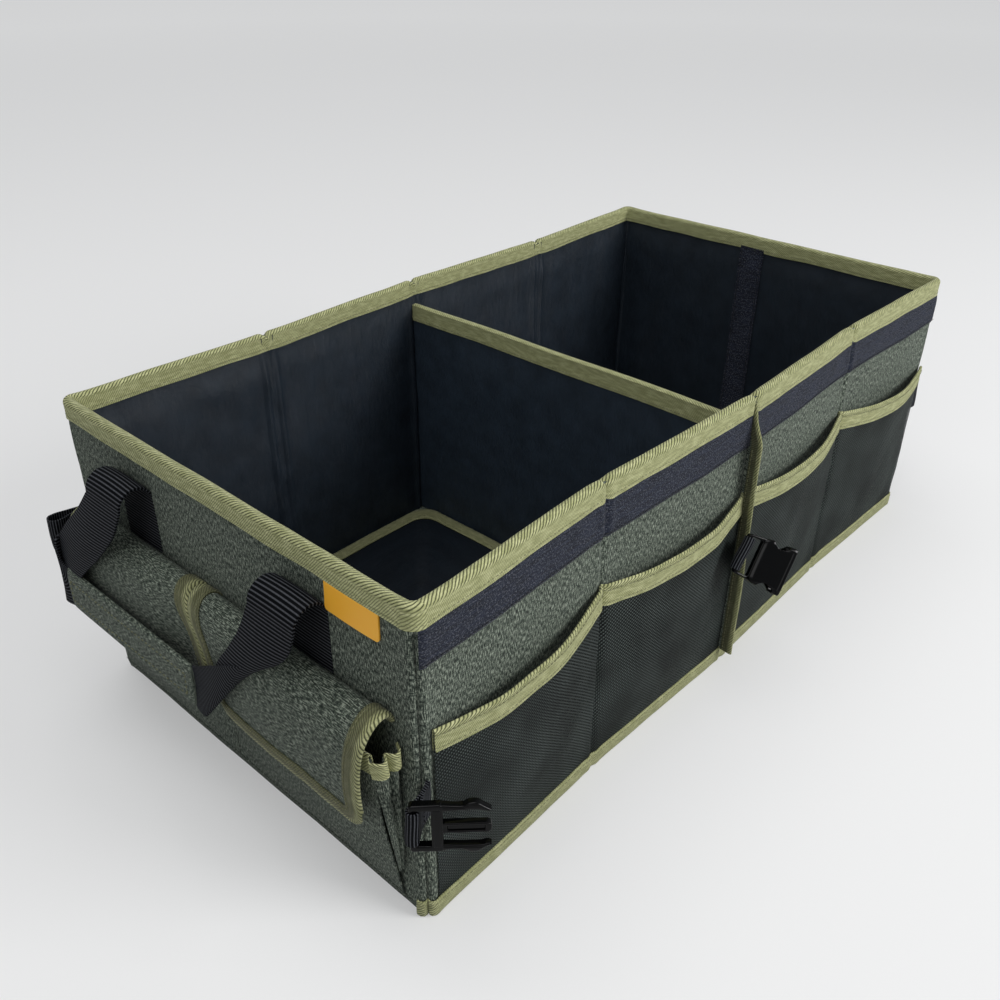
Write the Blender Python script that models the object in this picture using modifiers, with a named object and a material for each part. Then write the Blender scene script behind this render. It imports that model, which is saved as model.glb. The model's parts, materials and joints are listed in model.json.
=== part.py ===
"""A folding trunk organizer with two compartments, built in metres with +Z up.

The origin is on the floor under the middle of the box. +X runs along the box from the near end,
which carries the flapped pockets, to the far end. The mesh pockets are on the -Y side.
Every cloth piece is one ply: a line in plan carried up through levels and given its thickness.
"""
import math

import bmesh
import bpy
from mathutils import Matrix, Vector

# The box
BODY_LENGTH = 0.650
BODY_WIDTH = 0.346
BODY_HEIGHT = 0.235
CORNER_RADIUS = 0.008
FOLD_INSET = 0.005

# Plies
GAP = 0.0003
FABRIC = 0.0010
LINING = 0.0008
BOARD = 0.0022
TAPE = 0.0008
MESH = 0.0006
LOOP_PILE = 0.0016
WEBBING = 0.0016
BOARD_HEM = 0.003

# Binding tape and hook-and-loop strips
RIM_LEG = 0.014
EDGE_LEG = 0.0125
FLAP_LEG = 0.011
FIN_LEG = 0.008
BOTTOM_TAPE_HEIGHT = 0.013
PILE_HEIGHT = 0.027
END_PILE_WIDTH = 0.026
END_PILE_LOW = 0.013

# Divider, fins and base boards
DIVIDER_DROP = 0.022
FIN_DEPTH = 0.014
FIN_PLY = 0.0026
BASE_BOARD = 0.0030
BASE_RADIUS = 0.018
BASE_PLAY = 0.0015

# Mesh pockets on the front
MESH_HEIGHT = 0.149
MESH_LOW = 0.002
MESH_BOW = 0.011
MESH_MARGIN = 0.012
MESH_FIN_GAP = 0.0011

# Pockets and flaps on the near end
END_POCKET_HEIGHT = 0.138
END_POCKET_LOW = 0.008
END_POCKET_HALF = 0.154
END_POCKET_DEPTH = 0.018
END_POCKET_SWELL = 0.100
END_POCKET_SEAM_Y = 0.012
GUSSET_LOW = 0.045
GUSSET_FOLD = 0.005
GUSSET_LEG = 0.010
GUSSET_HUMPS = (0.0, 0.7, 1.0, 0.15, 1.0, 0.7, 0.0)
FLAP_SEAM_Z = 0.157
FLAP_OUT = 0.0245
FLAP_LOW_Z = 0.089
FLAP_SPLIT = 0.005
FLAP_CORNER = 0.016
FLAP_TURNS = 3
FLAP_MIDDLE_Y = 0.002
# The flap's shape, as shares of how far it stands out and how far it drops
FLAP_SHAPE = ((0.4, 0.007), (0.78, 0.06), (0.95, 0.17), (1.0, 0.35), (1.0, 0.65), (0.94, 1.0))
LABEL_LENGTH = 0.048
LABEL_HEIGHT = 0.018
LABEL_INSET = 0.024

# Carry handles
HANDLE_WIDTH = 0.040
HANDLE_SPAN = 0.175
HANDLE_CENTRE_Y = -0.006
HANDLE_ROOT_Z = 0.1585
ARCH_RADIUS = 0.0113
ARCH_Z = 0.197
HINGE_GAP = 0.0006
GRIP_Z = 0.107
GRIP_LEAN = 0.010
HANDLE_BEND = 0.021
NEAR_FRONT_BEND = 0.080
NEAR_BACK_SWING = 0.0575
GRIP_HEIGHT = 0.034
GRIP_PAD = 0.0025
GRIP_END = 0.005

# Lashing loops and buckles
RIBBON_WIDTH = 0.025
RIBBON = 0.0012
RIBBON_SEAM = 0.006
RIBBON_WRAP = 110
LASH_REACH = 0.026
LASH_FRONT_INSET = 0.012
LASH_BACK_INSET = 0.0035
LASH_BACK_TUCK = 0.0008
LASH_RADIUS = 0.0048
LASH_FRONT_Z = 0.109
LASH_BACK_Z = 0.139
BUCKLE_WIDTH = 0.036
BUCKLE_PLATE = 0.0050
BAR = 0.0030
BAR_LOOP = 0.0034
BUCKLE_SLOT = 0.0085
SLOT_PLAY = 0.0015
CROSS_BAR = 0.0065
PRONG_LENGTH = 0.026
PRONG = 0.0042
PRONG_WAIST = 0.002
PRONG_HOOK = 0.001
GUIDE = 0.0070
GUIDE_CHAMFER = 0.0015
SOCKET_LENGTH = 0.027
SOCKET_WALL = 0.0016
SOCKET_DEPTH = 0.0110
SOCKET_TAPER = 0.003
WINDOW_START = 0.32
WINDOW_END = 0.68
WINDOW_TALL = 0.62
CUT_PAST = 0.001
MALE_REACH = 0.022
MALE_ROOT = (0.0048, 0.0005, 0.103)
MALE_RIBBON_WAY = (-0.93, -0.37, 0.0)
MALE_WAY = (0.70, -0.71, 0.0)
MALE_BAR = (0.0, 0.0, 1.0)
FEMALE_REACH = 0.030
FEMALE_ROOT = (0.0030, 0.0110, 0.108)
FEMALE_RIBBON_WAY = (-0.97, -0.25, 0.0)
FEMALE_WAY = (0.45, -0.65, -0.61)
FEMALE_BAR = (0.60, 0.0, 0.80)

CORNER_STEPS = 3
ARCH_STEPS = 8
SWELL_STEPS = 6
RIBBON_STEPS = 10

# Depths through a wall, measured inwards from its outer face
BOARD_IN = FABRIC + GAP
LINING_IN = BOARD_IN + BOARD + GAP
WALL = LINING_IN + LINING
WALL_LOW = FABRIC + GAP
WALL_TOP = BODY_HEIGHT - TAPE - GAP
RIM_LOW = BODY_HEIGHT - RIM_LEG
HALF_L = BODY_LENGTH / 2
HALF_W = BODY_WIDTH / 2
QUARTER_X = HALF_L / 2
DIVIDER_IN = BOARD / 2 + GAP
DIVIDER_HALF = DIVIDER_IN + FABRIC
DIVIDER_TOP = BODY_HEIGHT - DIVIDER_DROP - TAPE - GAP
FIN_LOW = BOTTOM_TAPE_HEIGHT + GAP
FIN_TOP = RIM_LOW - GAP
POCKET_SEAM = TAPE + 2 * GAP


def clear_scene():
    for item in list(bpy.data.objects):
        bpy.data.objects.remove(item, do_unlink=True)


def collection(name):
    made = bpy.data.collections.new(name)
    bpy.context.scene.collection.children.link(made)
    return made


def finish(name, colour, roughness, metallic=0.0):
    made = bpy.data.materials.new(name)
    made.use_nodes = True
    shader = made.node_tree.nodes["Principled BSDF"]
    shader.inputs["Base Color"].default_value = (*colour, 1.0)
    shader.inputs["Roughness"].default_value = roughness
    shader.inputs["Metallic"].default_value = metallic
    return made


def add_object(name, bm, material):
    """Makes a named object from bm and puts it with the parts."""
    mesh = bpy.data.meshes.new(name)
    bm.to_mesh(mesh)
    bm.free()
    mesh.materials.append(bpy.data.materials[material])
    made = bpy.data.objects.new(name, mesh)
    PARTS.objects.link(made)
    return made


def solidify(made, thickness, side):
    ply = made.modifiers.new("ply", "SOLIDIFY")
    ply.thickness = thickness
    ply.offset = side
    ply.use_even_offset = True


def sheet(name, rows, thickness, material, side=1, closed=False):
    """A grid of cloth through rows of points, thickened towards one side.

    Rows that go upwards along a line travelled with the box on its left face outwards (side 1).
    """
    bm = bmesh.new()
    columns = len(rows[0])
    bmesh.ops.create_grid(bm, x_segments=columns - 1, y_segments=len(rows) - 1, size=1.0)
    bm.verts.ensure_lookup_table()
    points = [Vector(point) for row in rows for point in row]
    for vertex, point in zip(bm.verts, points):
        vertex.co = point
    if closed:
        bmesh.ops.remove_doubles(bm, verts=bm.verts[:], dist=1e-6)
    made = add_object(name, bm, material)
    solidify(made, thickness, side)
    return made


def turn_about(made, point):
    """Moves the object's origin to a point of its joint's axis."""
    made.data.transform(Matrix.Translation(-point))
    made.location = point


def block(name, low, high, material):
    """A rectangular piece between two opposite corners."""
    bm = bmesh.new()
    bmesh.ops.create_cube(bm, size=1.0)
    low, high = Vector(low), Vector(high)
    for vertex in bm.verts:
        share = vertex.co + Vector((0.5, 0.5, 0.5))
        vertex.co = Vector(a + s * (b - a) for a, b, s in zip(low, high, share))
    return add_object(name, bm, material)


def plate(name, outline, z_low, thickness, material):
    """A flat piece with the given outline in plan."""
    bm = bmesh.new()
    corners = [bm.verts.new((x, y, z_low)) for x, y in outline]
    bmesh.ops.contextual_create(bm, geom=corners)
    bmesh.ops.recalc_face_normals(bm, faces=bm.faces[:])
    if bm.faces[:][0].normal.z < 0:
        bmesh.ops.reverse_faces(bm, faces=bm.faces[:])
    made = add_object(name, bm, material)
    solidify(made, thickness, 1)
    return made


def offset(points, distance, closed=False):
    """The line moved to its left by distance, with mitred corners."""
    count = len(points)
    moved = []
    for index in range(count):
        here = Vector(points[index])
        before = Vector(points[index - 1]) if closed or index > 0 else None
        after = Vector(points[(index + 1) % count]) if closed or index < count - 1 else None
        ways = []
        if before is not None:
            ways.append((here - before).normalized())
        if after is not None:
            ways.append((after - here).normalized())
        normals = [Vector((-way.y, way.x)) for way in ways]
        middle = sum(normals, Vector((0.0, 0.0))).normalized()
        moved.append(here + middle * (distance / middle.dot(normals[0])))
    return moved


def arc(centre, radius, start, end, steps):
    """Points on an arc, with the angles in degrees."""
    angles = [math.radians(start + (end - start) * k / steps) for k in range(steps + 1)]
    return [Vector((centre[0] + radius * math.cos(a), centre[1] + radius * math.sin(a))) for a in angles]


def side_line(side):
    """The outer face of one long wall in plan, with its two folds leaning inwards."""
    x, y, r = HALF_L - CORNER_RADIUS, HALF_W - CORNER_RADIUS, CORNER_RADIUS
    inner = HALF_W - FOLD_INSET
    line = arc((-x, -y), r, 180, 270, CORNER_STEPS)
    line += [Vector((-QUARTER_X, -inner)), Vector((0.0, -HALF_W)), Vector((QUARTER_X, -inner))]
    line += arc((x, -y), r, 270, 360, CORNER_STEPS)
    if side > 0:
        line = [Vector((-point.x, -point.y)) for point in line]
    return line


FRONT_COUNT = len(side_line(-1))


def ring(inset):
    """The whole wall in plan, moved inwards from its outer face."""
    return offset(side_line(-1) + side_line(1), inset, closed=True)


def wall_line(which, inset):
    """One wall's part of the ring: front, far, back or near."""
    whole = ring(inset)
    if which == "front":
        return whole[:FRONT_COUNT]
    if which == "back":
        return whole[FRONT_COUNT:]
    ends = {"far": (FRONT_COUNT - 1, FRONT_COUNT), "near": (-1, 0)}[which]
    start, end = whole[ends[0]], whole[ends[1]]
    way = (end - start).normalized() * GAP
    return [start + way, end - way]


def face_y(x):
    """How far the long walls' outer face is from the middle plane at x."""
    share = abs(abs(x) - QUARTER_X) / QUARTER_X
    return HALF_W - FOLD_INSET * (1 - share)


def along_front(xs, outs):
    """A line in front of the front wall, outs away from it at each x."""
    return [Vector((x, -face_y(x) - out)) for x, out in zip(xs, outs)]


def at(line, z):
    return [(point.x, point.y, z) for point in line]


def wall_cloth(name, lines, levels, thickness, material, side=1):
    """A ply that stands on edge, one plan line for each level."""
    rows = [at(line, z) for line, z in zip(lines, levels)]
    return sheet(name, rows, thickness, material, side)


def wrap_tape(name, line_at, ply, top, leg, material, closed=False, play=GAP):
    """Binding tape folded over the upper edge of a ply.

    line_at(z) is the ply's inner face in plan, travelled with the box on the left.
    """
    low = top - leg
    inner = [offset(line_at(z), play, closed) for z in (low, top - TAPE)]
    outer = [offset(line_at(z), -ply - play, closed) for z in (top - TAPE, low)]
    rows = []
    for line, z in zip(inner + outer, (low, top - TAPE, top - TAPE, low)):
        row = at(line, z)
        rows.append(row + row[:1] if closed else row)
    return sheet(name, rows, TAPE, material, -1, closed)


# Walls

def make_walls():
    """Outer fabric, boards and lining of the four walls, and the bottom."""
    plate("bottom_fabric", ring(0.0), 0.0, FABRIC, "outer_fabric")
    levels = (WALL_LOW, WALL_TOP)
    for which in ("front", "back", "near", "far"):
        outer = wall_line(which, 0.0)
        inner = wall_line(which, LINING_IN)
        wall_cloth(which + "_fabric", (outer, outer), levels, FABRIC, "outer_fabric", -1)
        wall_cloth(which + "_lining", (inner, inner), levels, LINING, "lining", -1)
    for which, sign in (("front", -1), ("back", 1)):
        corners = (-HALF_L + CORNER_RADIUS, -QUARTER_X, 0.0, QUARTER_X, HALF_L - CORNER_RADIUS)
        for number, (start, end) in enumerate(zip(corners, corners[1:]), 1):
            xs = (start + BOARD_HEM, end - BOARD_HEM)
            line = [Vector((x, -face_y(x) + BOARD_IN)) for x in xs]
            if sign > 0:
                line = [Vector((-point.x, -point.y)) for point in line]
                number = len(corners) - number
            wall_board(f"{which}_board_{number}", line)
    for which in ("near", "far"):
        start, end = wall_line(which, BOARD_IN)
        way = (end - start).normalized() * BOARD_HEM
        wall_board(which + "_board", [start + way, end - way])


def wall_board(name, line):
    levels = (WALL_LOW + BOARD_HEM, WALL_TOP - BOARD_HEM)
    wall_cloth(name, (line, line), levels, BOARD, "board", -1)


def make_bindings():
    """Rim tape, bottom tape, the middle fin and the hook-and-loop strips."""
    wrap_tape("rim_binding", lambda z: ring(WALL), WALL, BODY_HEIGHT, RIM_LEG, "tape", True)
    tape_out = 2 * GAP + MESH
    low = (0.0, BOTTOM_TAPE_HEIGHT)
    xs = (-HALF_L + CORNER_RADIUS, -QUARTER_X, 0.0, QUARTER_X, HALF_L - CORNER_RADIUS)
    front = along_front(xs, [tape_out] * len(xs))
    wall_cloth("front_bottom_tape", (front, front), low, TAPE, "tape")

    root, edge = HALF_W + GAP, HALF_W + FIN_DEPTH
    block("front_fin", (-FIN_PLY / 2, -edge, FIN_LOW), (FIN_PLY / 2, -root, FIN_TOP), "outer_fabric")
    half = FIN_PLY / 2 + GAP
    line = [Vector((-half, -edge + FIN_LEG)), Vector((-half, -edge - GAP))]
    line += [Vector((half, -edge - GAP)), Vector((half, -edge + FIN_LEG))]
    wall_cloth("front_fin_binding", (line, line), (FIN_LOW, FIN_TOP), TAPE, "tape")

    pile_levels = (RIM_LOW - GAP - PILE_HEIGHT, RIM_LOW - GAP)
    inner_x = FIN_PLY / 2 + GAP
    outer_x = HALF_L - CORNER_RADIUS
    for name, xs in (("near", (-outer_x, -QUARTER_X, -inner_x)), ("far", (inner_x, QUARTER_X, outer_x))):
        line = along_front(xs, [GAP] * 3)
        wall_cloth(f"front_pile_{name}", (line, line), pile_levels, LOOP_PILE, "pile")
    high_x = HALF_L - WALL - GAP
    block(
        "far_end_pile",
        (high_x - LOOP_PILE, 0.0, END_PILE_LOW),
        (high_x, END_PILE_WIDTH, RIM_LOW - GAP),
        "pile",
    )


def make_divider():
    """The sewn-in divider: a board in a folded cover, bound along its top."""
    half_y = HALF_W - WALL - GAP
    board_y = half_y - BOARD_HEM
    block(
        "divider_board",
        (-BOARD / 2, -board_y, WALL_LOW + BOARD_HEM),
        (BOARD / 2, board_y, DIVIDER_TOP - FABRIC - GAP),
        "board",
    )

    def folded(x, low, top):
        section = ((-x, low), (-x, top), (x, top), (x, low))
        return [[(px, y, z) for y in (-half_y, half_y)] for px, z in section]

    sheet("divider_cover", folded(DIVIDER_IN, WALL_LOW, DIVIDER_TOP - FABRIC), FABRIC, "lining", -1)
    rows = folded(DIVIDER_HALF + GAP, DIVIDER_TOP - EDGE_LEG, DIVIDER_TOP + GAP)
    sheet("divider_binding", rows, TAPE, "tape", -1)


def make_base_boards():
    """The two loose floor boards with their bound edges."""
    half_y = HALF_W - WALL - FOLD_INSET - BASE_PLAY - TAPE - GAP
    outer = HALF_L - WALL - BASE_PLAY - TAPE - GAP
    inner = DIVIDER_HALF + BASE_PLAY + TAPE + GAP
    board_low = FABRIC + GAP + TAPE + GAP
    for name, low_x, high_x in (("near", -outer, -inner), ("far", inner, outer)):
        corners = ((low_x, -half_y, 180), (high_x, -half_y, 270), (high_x, half_y, 0), (low_x, half_y, 90))
        outline = []
        for x, y, start in corners:
            cx = x + math.copysign(BASE_RADIUS, (low_x + high_x) / 2 - x)
            cy = y - math.copysign(BASE_RADIUS, y)
            outline += arc((cx, cy), BASE_RADIUS, start, start + 90, CORNER_STEPS + 1)
        plate(name + "_base_board", outline, board_low, BASE_BOARD, "lining")
        inner_line = offset(outline, EDGE_LEG, True)
        outer_line = offset(outline, -GAP, True)
        low_z, high_z = board_low - GAP, board_low + BASE_BOARD + GAP
        rows = [at(inner_line, low_z), at(outer_line, low_z), at(outer_line, high_z), at(inner_line, high_z)]
        rows = [row + row[:1] for row in rows]
        sheet(name + "_base_binding", rows, TAPE, "tape", 1, True)


def make_mesh_pockets():
    """Two mesh sheets, each sewn down at a fold so that it makes two pockets."""
    inner_x = FIN_PLY / 2 + MESH_FIN_GAP
    spans = {
        "near": (-HALF_L + MESH_MARGIN, -QUARTER_X, -inner_x),
        "far": (inner_x, QUARTER_X, HALF_L - CORNER_RADIUS),
    }
    lower, upper = MESH_HEIGHT * 0.3, MESH_HEIGHT * 0.57
    levels = (MESH_LOW, BOTTOM_TAPE_HEIGHT, lower, upper, MESH_HEIGHT - RIM_LEG, MESH_HEIGHT - TAPE - GAP)
    for name, seams in spans.items():
        xs = [seams[0]]
        bows = [0.0]
        for start, end in zip(seams, seams[1:]):
            for step in range(1, SWELL_STEPS + 1):
                xs.append(start + (end - start) * step / SWELL_STEPS)
                bows.append(math.sin(math.pi * step / SWELL_STEPS))

        def line_at(z, xs=xs, bows=bows):
            rise = max(0.0, (z - BOTTOM_TAPE_HEIGHT) / (MESH_HEIGHT - BOTTOM_TAPE_HEIGHT)) ** 0.6
            return along_front(xs, [GAP + rise * (POCKET_SEAM + MESH_BOW * bow) for bow in bows])

        lines = [line_at(z) for z in levels]
        wall_cloth(f"mesh_pocket_{name}", lines, levels, MESH, "mesh")
        wrap_tape(f"mesh_binding_{name}", line_at, MESH, MESH_HEIGHT, RIM_LEG, "tape")


def near_end(out, y):
    """A plan point out from the near end's outer face."""
    return Vector((-HALF_L - out, y))


def end_pocket_line(z):
    """The end pocket's inner face at a level, flush at the middle seam."""
    rise = max(0.0, (z - END_POCKET_LOW) / (END_POCKET_HEIGHT - END_POCKET_LOW))
    line = []
    for step in range(-SWELL_STEPS, SWELL_STEPS + 1):
        reach = END_POCKET_HALF + math.copysign(END_POCKET_SEAM_Y, step)
        y = END_POCKET_SEAM_Y - reach * step / SWELL_STEPS
        swell = math.sin(math.pi / 2 * min(1.0, abs(y - END_POCKET_SEAM_Y) / END_POCKET_SWELL))
        line.append(near_end(GAP + rise * (POCKET_SEAM + END_POCKET_DEPTH * swell), y))
    return line


def gusset_line(side):
    """A folded gusset at one end of the pocket, as a function of the level."""
    def line_at(z):
        rise = (z - END_POCKET_LOW) / (END_POCKET_HEIGHT - END_POCKET_LOW)
        line = []
        for step, hump in enumerate(GUSSET_HUMPS):
            out = GAP + TAPE + GAP + rise * END_POCKET_DEPTH * step / (len(GUSSET_HUMPS) - 1)
            y = END_POCKET_HALF + GAP + 2 * (TAPE + GAP) + rise * GUSSET_FOLD * hump
            line.append(near_end(out, side * y))
        return line if side > 0 else line[::-1]

    return line_at


def make_end_pockets():
    """The bellows pocket under the flaps, sewn down at its middle seam."""
    binding_low = END_POCKET_HEIGHT - EDGE_LEG
    lower, upper = END_POCKET_HEIGHT * 0.3, END_POCKET_HEIGHT * 0.6
    levels = (END_POCKET_LOW, lower, upper, binding_low, END_POCKET_HEIGHT - TAPE - GAP)
    wall_cloth("end_pocket", [end_pocket_line(z) for z in levels], levels, FABRIC, "outer_fabric")
    top, play = END_POCKET_HEIGHT, 2 * GAP
    wrap_tape("end_pocket_binding", end_pocket_line, FABRIC, top, EDGE_LEG, "tape", play=play)
    for name, side in (("front", -1), ("back", 1)):
        line_at = gusset_line(side)
        levels = (GUSSET_LOW, END_POCKET_HEIGHT - GUSSET_LEG, END_POCKET_HEIGHT - TAPE - GAP)
        lines = [line_at(z) for z in levels]
        wall_cloth(f"pocket_gusset_{name}", lines, levels, LINING, "outer_fabric")


# Flaps

def flap_profile():
    """The flap's inner face from its seam outwards and down, as (out, z)."""
    drop = FLAP_SEAM_Z - FLAP_LOW_Z
    shape = [Vector((FLAP_OUT * out, FLAP_SEAM_Z - drop * down)) for out, down in FLAP_SHAPE]
    return [Vector((GAP, FLAP_SEAM_Z))] + shape


def flap_lengths():
    profile = flap_profile()
    lengths = [0.0]
    for start, end in zip(profile, profile[1:]):
        lengths.append(lengths[-1] + (end - start).length)
    return lengths


def flap_point(y, run, lift):
    """A point of the flap at y, run down from the seam and lift off its inner face."""
    lengths = flap_lengths()
    line = offset(flap_profile(), lift)
    index = max(0, min(len(lengths) - 2, sum(run > length for length in lengths[1:])))
    share = (run - lengths[index]) / (lengths[index + 1] - lengths[index])
    place = line[index].lerp(line[index + 1], share)
    return (-HALF_L - place.x, y, place.y)


def make_flap(name, y_high, y_low):
    """One pocket flap and the tape that binds its sides and lower edge."""
    lengths = flap_lengths()
    total = lengths[-1]
    corner = FLAP_CORNER
    turns = [corner * (1 - math.cos(math.radians(90 * k / FLAP_TURNS))) for k in range(FLAP_TURNS + 1)]
    ys = [y_high - turn for turn in turns] + [y_low + turn for turn in turns[::-1]]
    rows = []
    for length in lengths:
        row = []
        for y in ys:
            edge = min(y_high - y, y - y_low, corner)
            reach = total - corner + math.sqrt(max(0.0, corner ** 2 - (corner - edge) ** 2))
            row.append(flap_point(y, min(length, reach), 0.0))
        rows.append(row)
    sheet("flap_" + name, rows, FABRIC, "outer_fabric", -1)

    def edge_line(inset):
        """The flap's edge in (y, run), moved inwards."""
        radius = corner - inset
        side_runs = [lengths[1] * 0.3] + lengths[1:-1]
        left = [Vector((y_high - inset, run)) for run in side_runs]
        right = [Vector((y_low + inset, run)) for run in side_runs[::-1]]
        start = (y_high - corner, total - corner)
        end = (y_low + corner, total - corner)
        turn = arc(start, radius, 0, 90, FLAP_TURNS)
        back = arc(end, radius, 90, 180, FLAP_TURNS)
        return left + turn + back + right

    inner, outer = edge_line(FLAP_LEG), edge_line(-GAP)
    lifts = ((inner, -GAP), (outer, -GAP), (outer, FABRIC + GAP), (inner, FABRIC + GAP))
    rows = [[flap_point(p.x, p.y, lift) for p in line] for line, lift in lifts]
    sheet(f"flap_{name}_binding", rows, TAPE, "tape", 1)


def make_end_trim():
    """The two flaps and the bare tag beside the corner."""
    make_flap("back", END_POCKET_HALF, FLAP_MIDDLE_Y + FLAP_SPLIT)
    make_flap("front", FLAP_MIDDLE_Y - FLAP_SPLIT, -END_POCKET_HALF)
    high_y = -HALF_W + LABEL_INSET + LABEL_LENGTH
    high_z = RIM_LOW - 2 * GAP
    block(
        "side_tag",
        (-HALF_L - GAP - TAPE, high_y - LABEL_LENGTH, high_z - LABEL_HEIGHT),
        (-HALF_L - GAP, high_y, high_z),
        "tag",
    )


# Handles

def make_handle(name, end, front_bend, back_swing):
    """A webbing handle: two arched roots on the wall and a hanging loop with its grip.

    The loop turns into the grip with front_bend at the front. At the back it turns with
    HANDLE_BEND, back_swing further along the end than straight under its root.
    """
    arch_out = GAP + ARCH_RADIUS
    centres = (HANDLE_CENTRE_Y + HANDLE_SPAN / 2, HANDLE_CENTRE_Y - HANDLE_SPAN / 2)
    section = [Vector((GAP, HANDLE_ROOT_Z))] + arc((arch_out, ARCH_Z), ARCH_RADIUS, 180, 0, ARCH_STEPS)
    for label, centre in zip(("back", "front"), centres):
        ys = (centre + HANDLE_WIDTH / 2, centre - HANDLE_WIDTH / 2)
        rows = [[(end * (HALF_L + p.x), y, p.y) for y in ys] for p in section]
        sheet(f"{name}_handle_root_{label}", rows, WEBBING, "webbing", -end)

    top = ARCH_Z - HINGE_GAP
    half = GRIP_HEIGHT / 2 - GAP
    back_y, front_y = centres
    turn = Vector((back_y - HANDLE_BEND + back_swing, GRIP_Z + HANDLE_BEND))
    away = Vector((back_y, top)) - turn
    tangent = math.degrees(math.atan2(away.y, away.x) - math.acos(HANDLE_BEND / away.length))
    path = [Vector((back_y, top))] + arc(turn, HANDLE_BEND, tangent, -90, 6)
    path += arc((front_y + front_bend, GRIP_Z + front_bend), front_bend, 270, 180, 5)
    path.append(Vector((front_y, top)))

    def place(point, lift=0.0):
        """A point of the hanging loop's leaning plane."""
        out = GAP + 2 * ARCH_RADIUS + GRIP_LEAN * (ARCH_Z - point.y) / (ARCH_Z - GRIP_Z) + lift
        return (end * (HALF_L + out), point.x, point.y)

    rows = []
    for side in (half, -half):
        edge = offset(path, side)
        edge[0] = Vector((back_y + side, top))
        edge[-1] = Vector((front_y - side, top))
        rows.append([place(point) for point in edge])
    webbing = sheet(f"{name}_handle_webbing", rows, WEBBING, "webbing", -end)

    tall = GRIP_HEIGHT / 2
    section = ((-GAP, -tall), (-GAP, tall), (WEBBING + GAP, tall), (WEBBING + GAP, -tall))
    rows = []
    for y in (turn.x - GRIP_END, front_y + front_bend + GRIP_END):
        row = [place(Vector((y, GRIP_Z + rise)), lift) for lift, rise in section]
        rows.append(row + row[:1])
    grip = sheet(f"{name}_handle_grip", rows, GRIP_PAD, "outer_fabric", -end, True)
    hinge_out = GAP + 2 * ARCH_RADIUS + WEBBING + GAP
    hinge = Vector((end * (HALF_L + hinge_out), HANDLE_CENTRE_Y, ARCH_Z))
    turn_about(webbing, hinge)
    turn_about(grip, hinge)


# Ribbons and buckles

def ribbon_loop(name, frame, reach, radius, width, material, slant=0.0):
    """A doubled ribbon round a bar at the frame's origin, its tail reaching along -X.

    The loop is an outline with a hole, extruded along the frame's Z. The tail's end slants by
    this much of X for each step along Z, so that it lies along the seam that holds it.
    """
    outer = radius + RIBBON
    seam = RIBBON_SEAM - reach
    outline = [Vector((-reach, RIBBON)), Vector((seam, RIBBON))]
    outline += arc((0.0, 0.0), outer, RIBBON_WRAP, -RIBBON_WRAP, RIBBON_STEPS)
    outline += [Vector((seam, -RIBBON)), Vector((-reach, -RIBBON))]
    hole = [Vector((seam + RIBBON_SEAM / 2, 0.0))]
    hole += arc((0.0, 0.0), radius, RIBBON_WRAP, -RIBBON_WRAP, RIBBON_STEPS)
    made = outline_piece(name, [outline, hole], width, material)
    for vertex in made.data.vertices:
        share = max(0.0, (-vertex.co.x - outer) / (reach - outer))
        vertex.co.x += slant * vertex.co.z * share
    made.matrix_world = frame
    return made


def outline_piece(name, outlines, thickness, material):
    """A flat outline with its holes, extruded equally both ways along Z."""
    curve = bpy.data.curves.new(name + "_outline", "CURVE")
    curve.dimensions = "2D"
    curve.fill_mode = "BOTH"
    curve.extrude = thickness / 2
    for outline in outlines:
        spline = curve.splines.new("POLY")
        spline.points.add(len(outline) - 1)
        for point, place in zip(spline.points, outline):
            point.co = (place.x, place.y, 0.0, 1.0)
        spline.use_cyclic_u = True
    guide = bpy.data.objects.new(name + "_outline", curve)
    PARTS.objects.link(guide)
    bpy.context.view_layer.update()
    graph = bpy.context.evaluated_depsgraph_get()
    mesh = bpy.data.meshes.new_from_object(guide.evaluated_get(graph))
    bpy.data.objects.remove(guide, do_unlink=True)
    bm = bmesh.new()
    bm.from_mesh(mesh)
    bpy.data.meshes.remove(mesh)
    bmesh.ops.remove_doubles(bm, verts=bm.verts[:], dist=1e-6)
    bmesh.ops.recalc_face_normals(bm, faces=bm.faces[:])
    return add_object(name, bm, material)


def slot_outline():
    """The hole beside the bar that the ribbon passes through."""
    slot_half = RIBBON_WIDTH / 2 + SLOT_PLAY
    return mirrored([Vector((BAR / 2, slot_half)), Vector((BAR / 2 + BUCKLE_SLOT, slot_half))])


def mirrored(points):
    """The outline and its mirror image across X, joined into one."""
    return points + [Vector((p.x, -p.y)) for p in reversed(points)]


def axes_frame(origin, along, bar):
    """A frame at origin with Z along the bar and X as near to along as that allows."""
    z_axis = Vector(bar).normalized()
    x_axis = Vector(along)
    x_axis = (x_axis - z_axis * x_axis.dot(z_axis)).normalized()
    y_axis = z_axis.cross(x_axis)
    turn = Matrix((x_axis, y_axis, z_axis)).transposed().to_4x4()
    return Matrix.Translation(origin) @ turn


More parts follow.
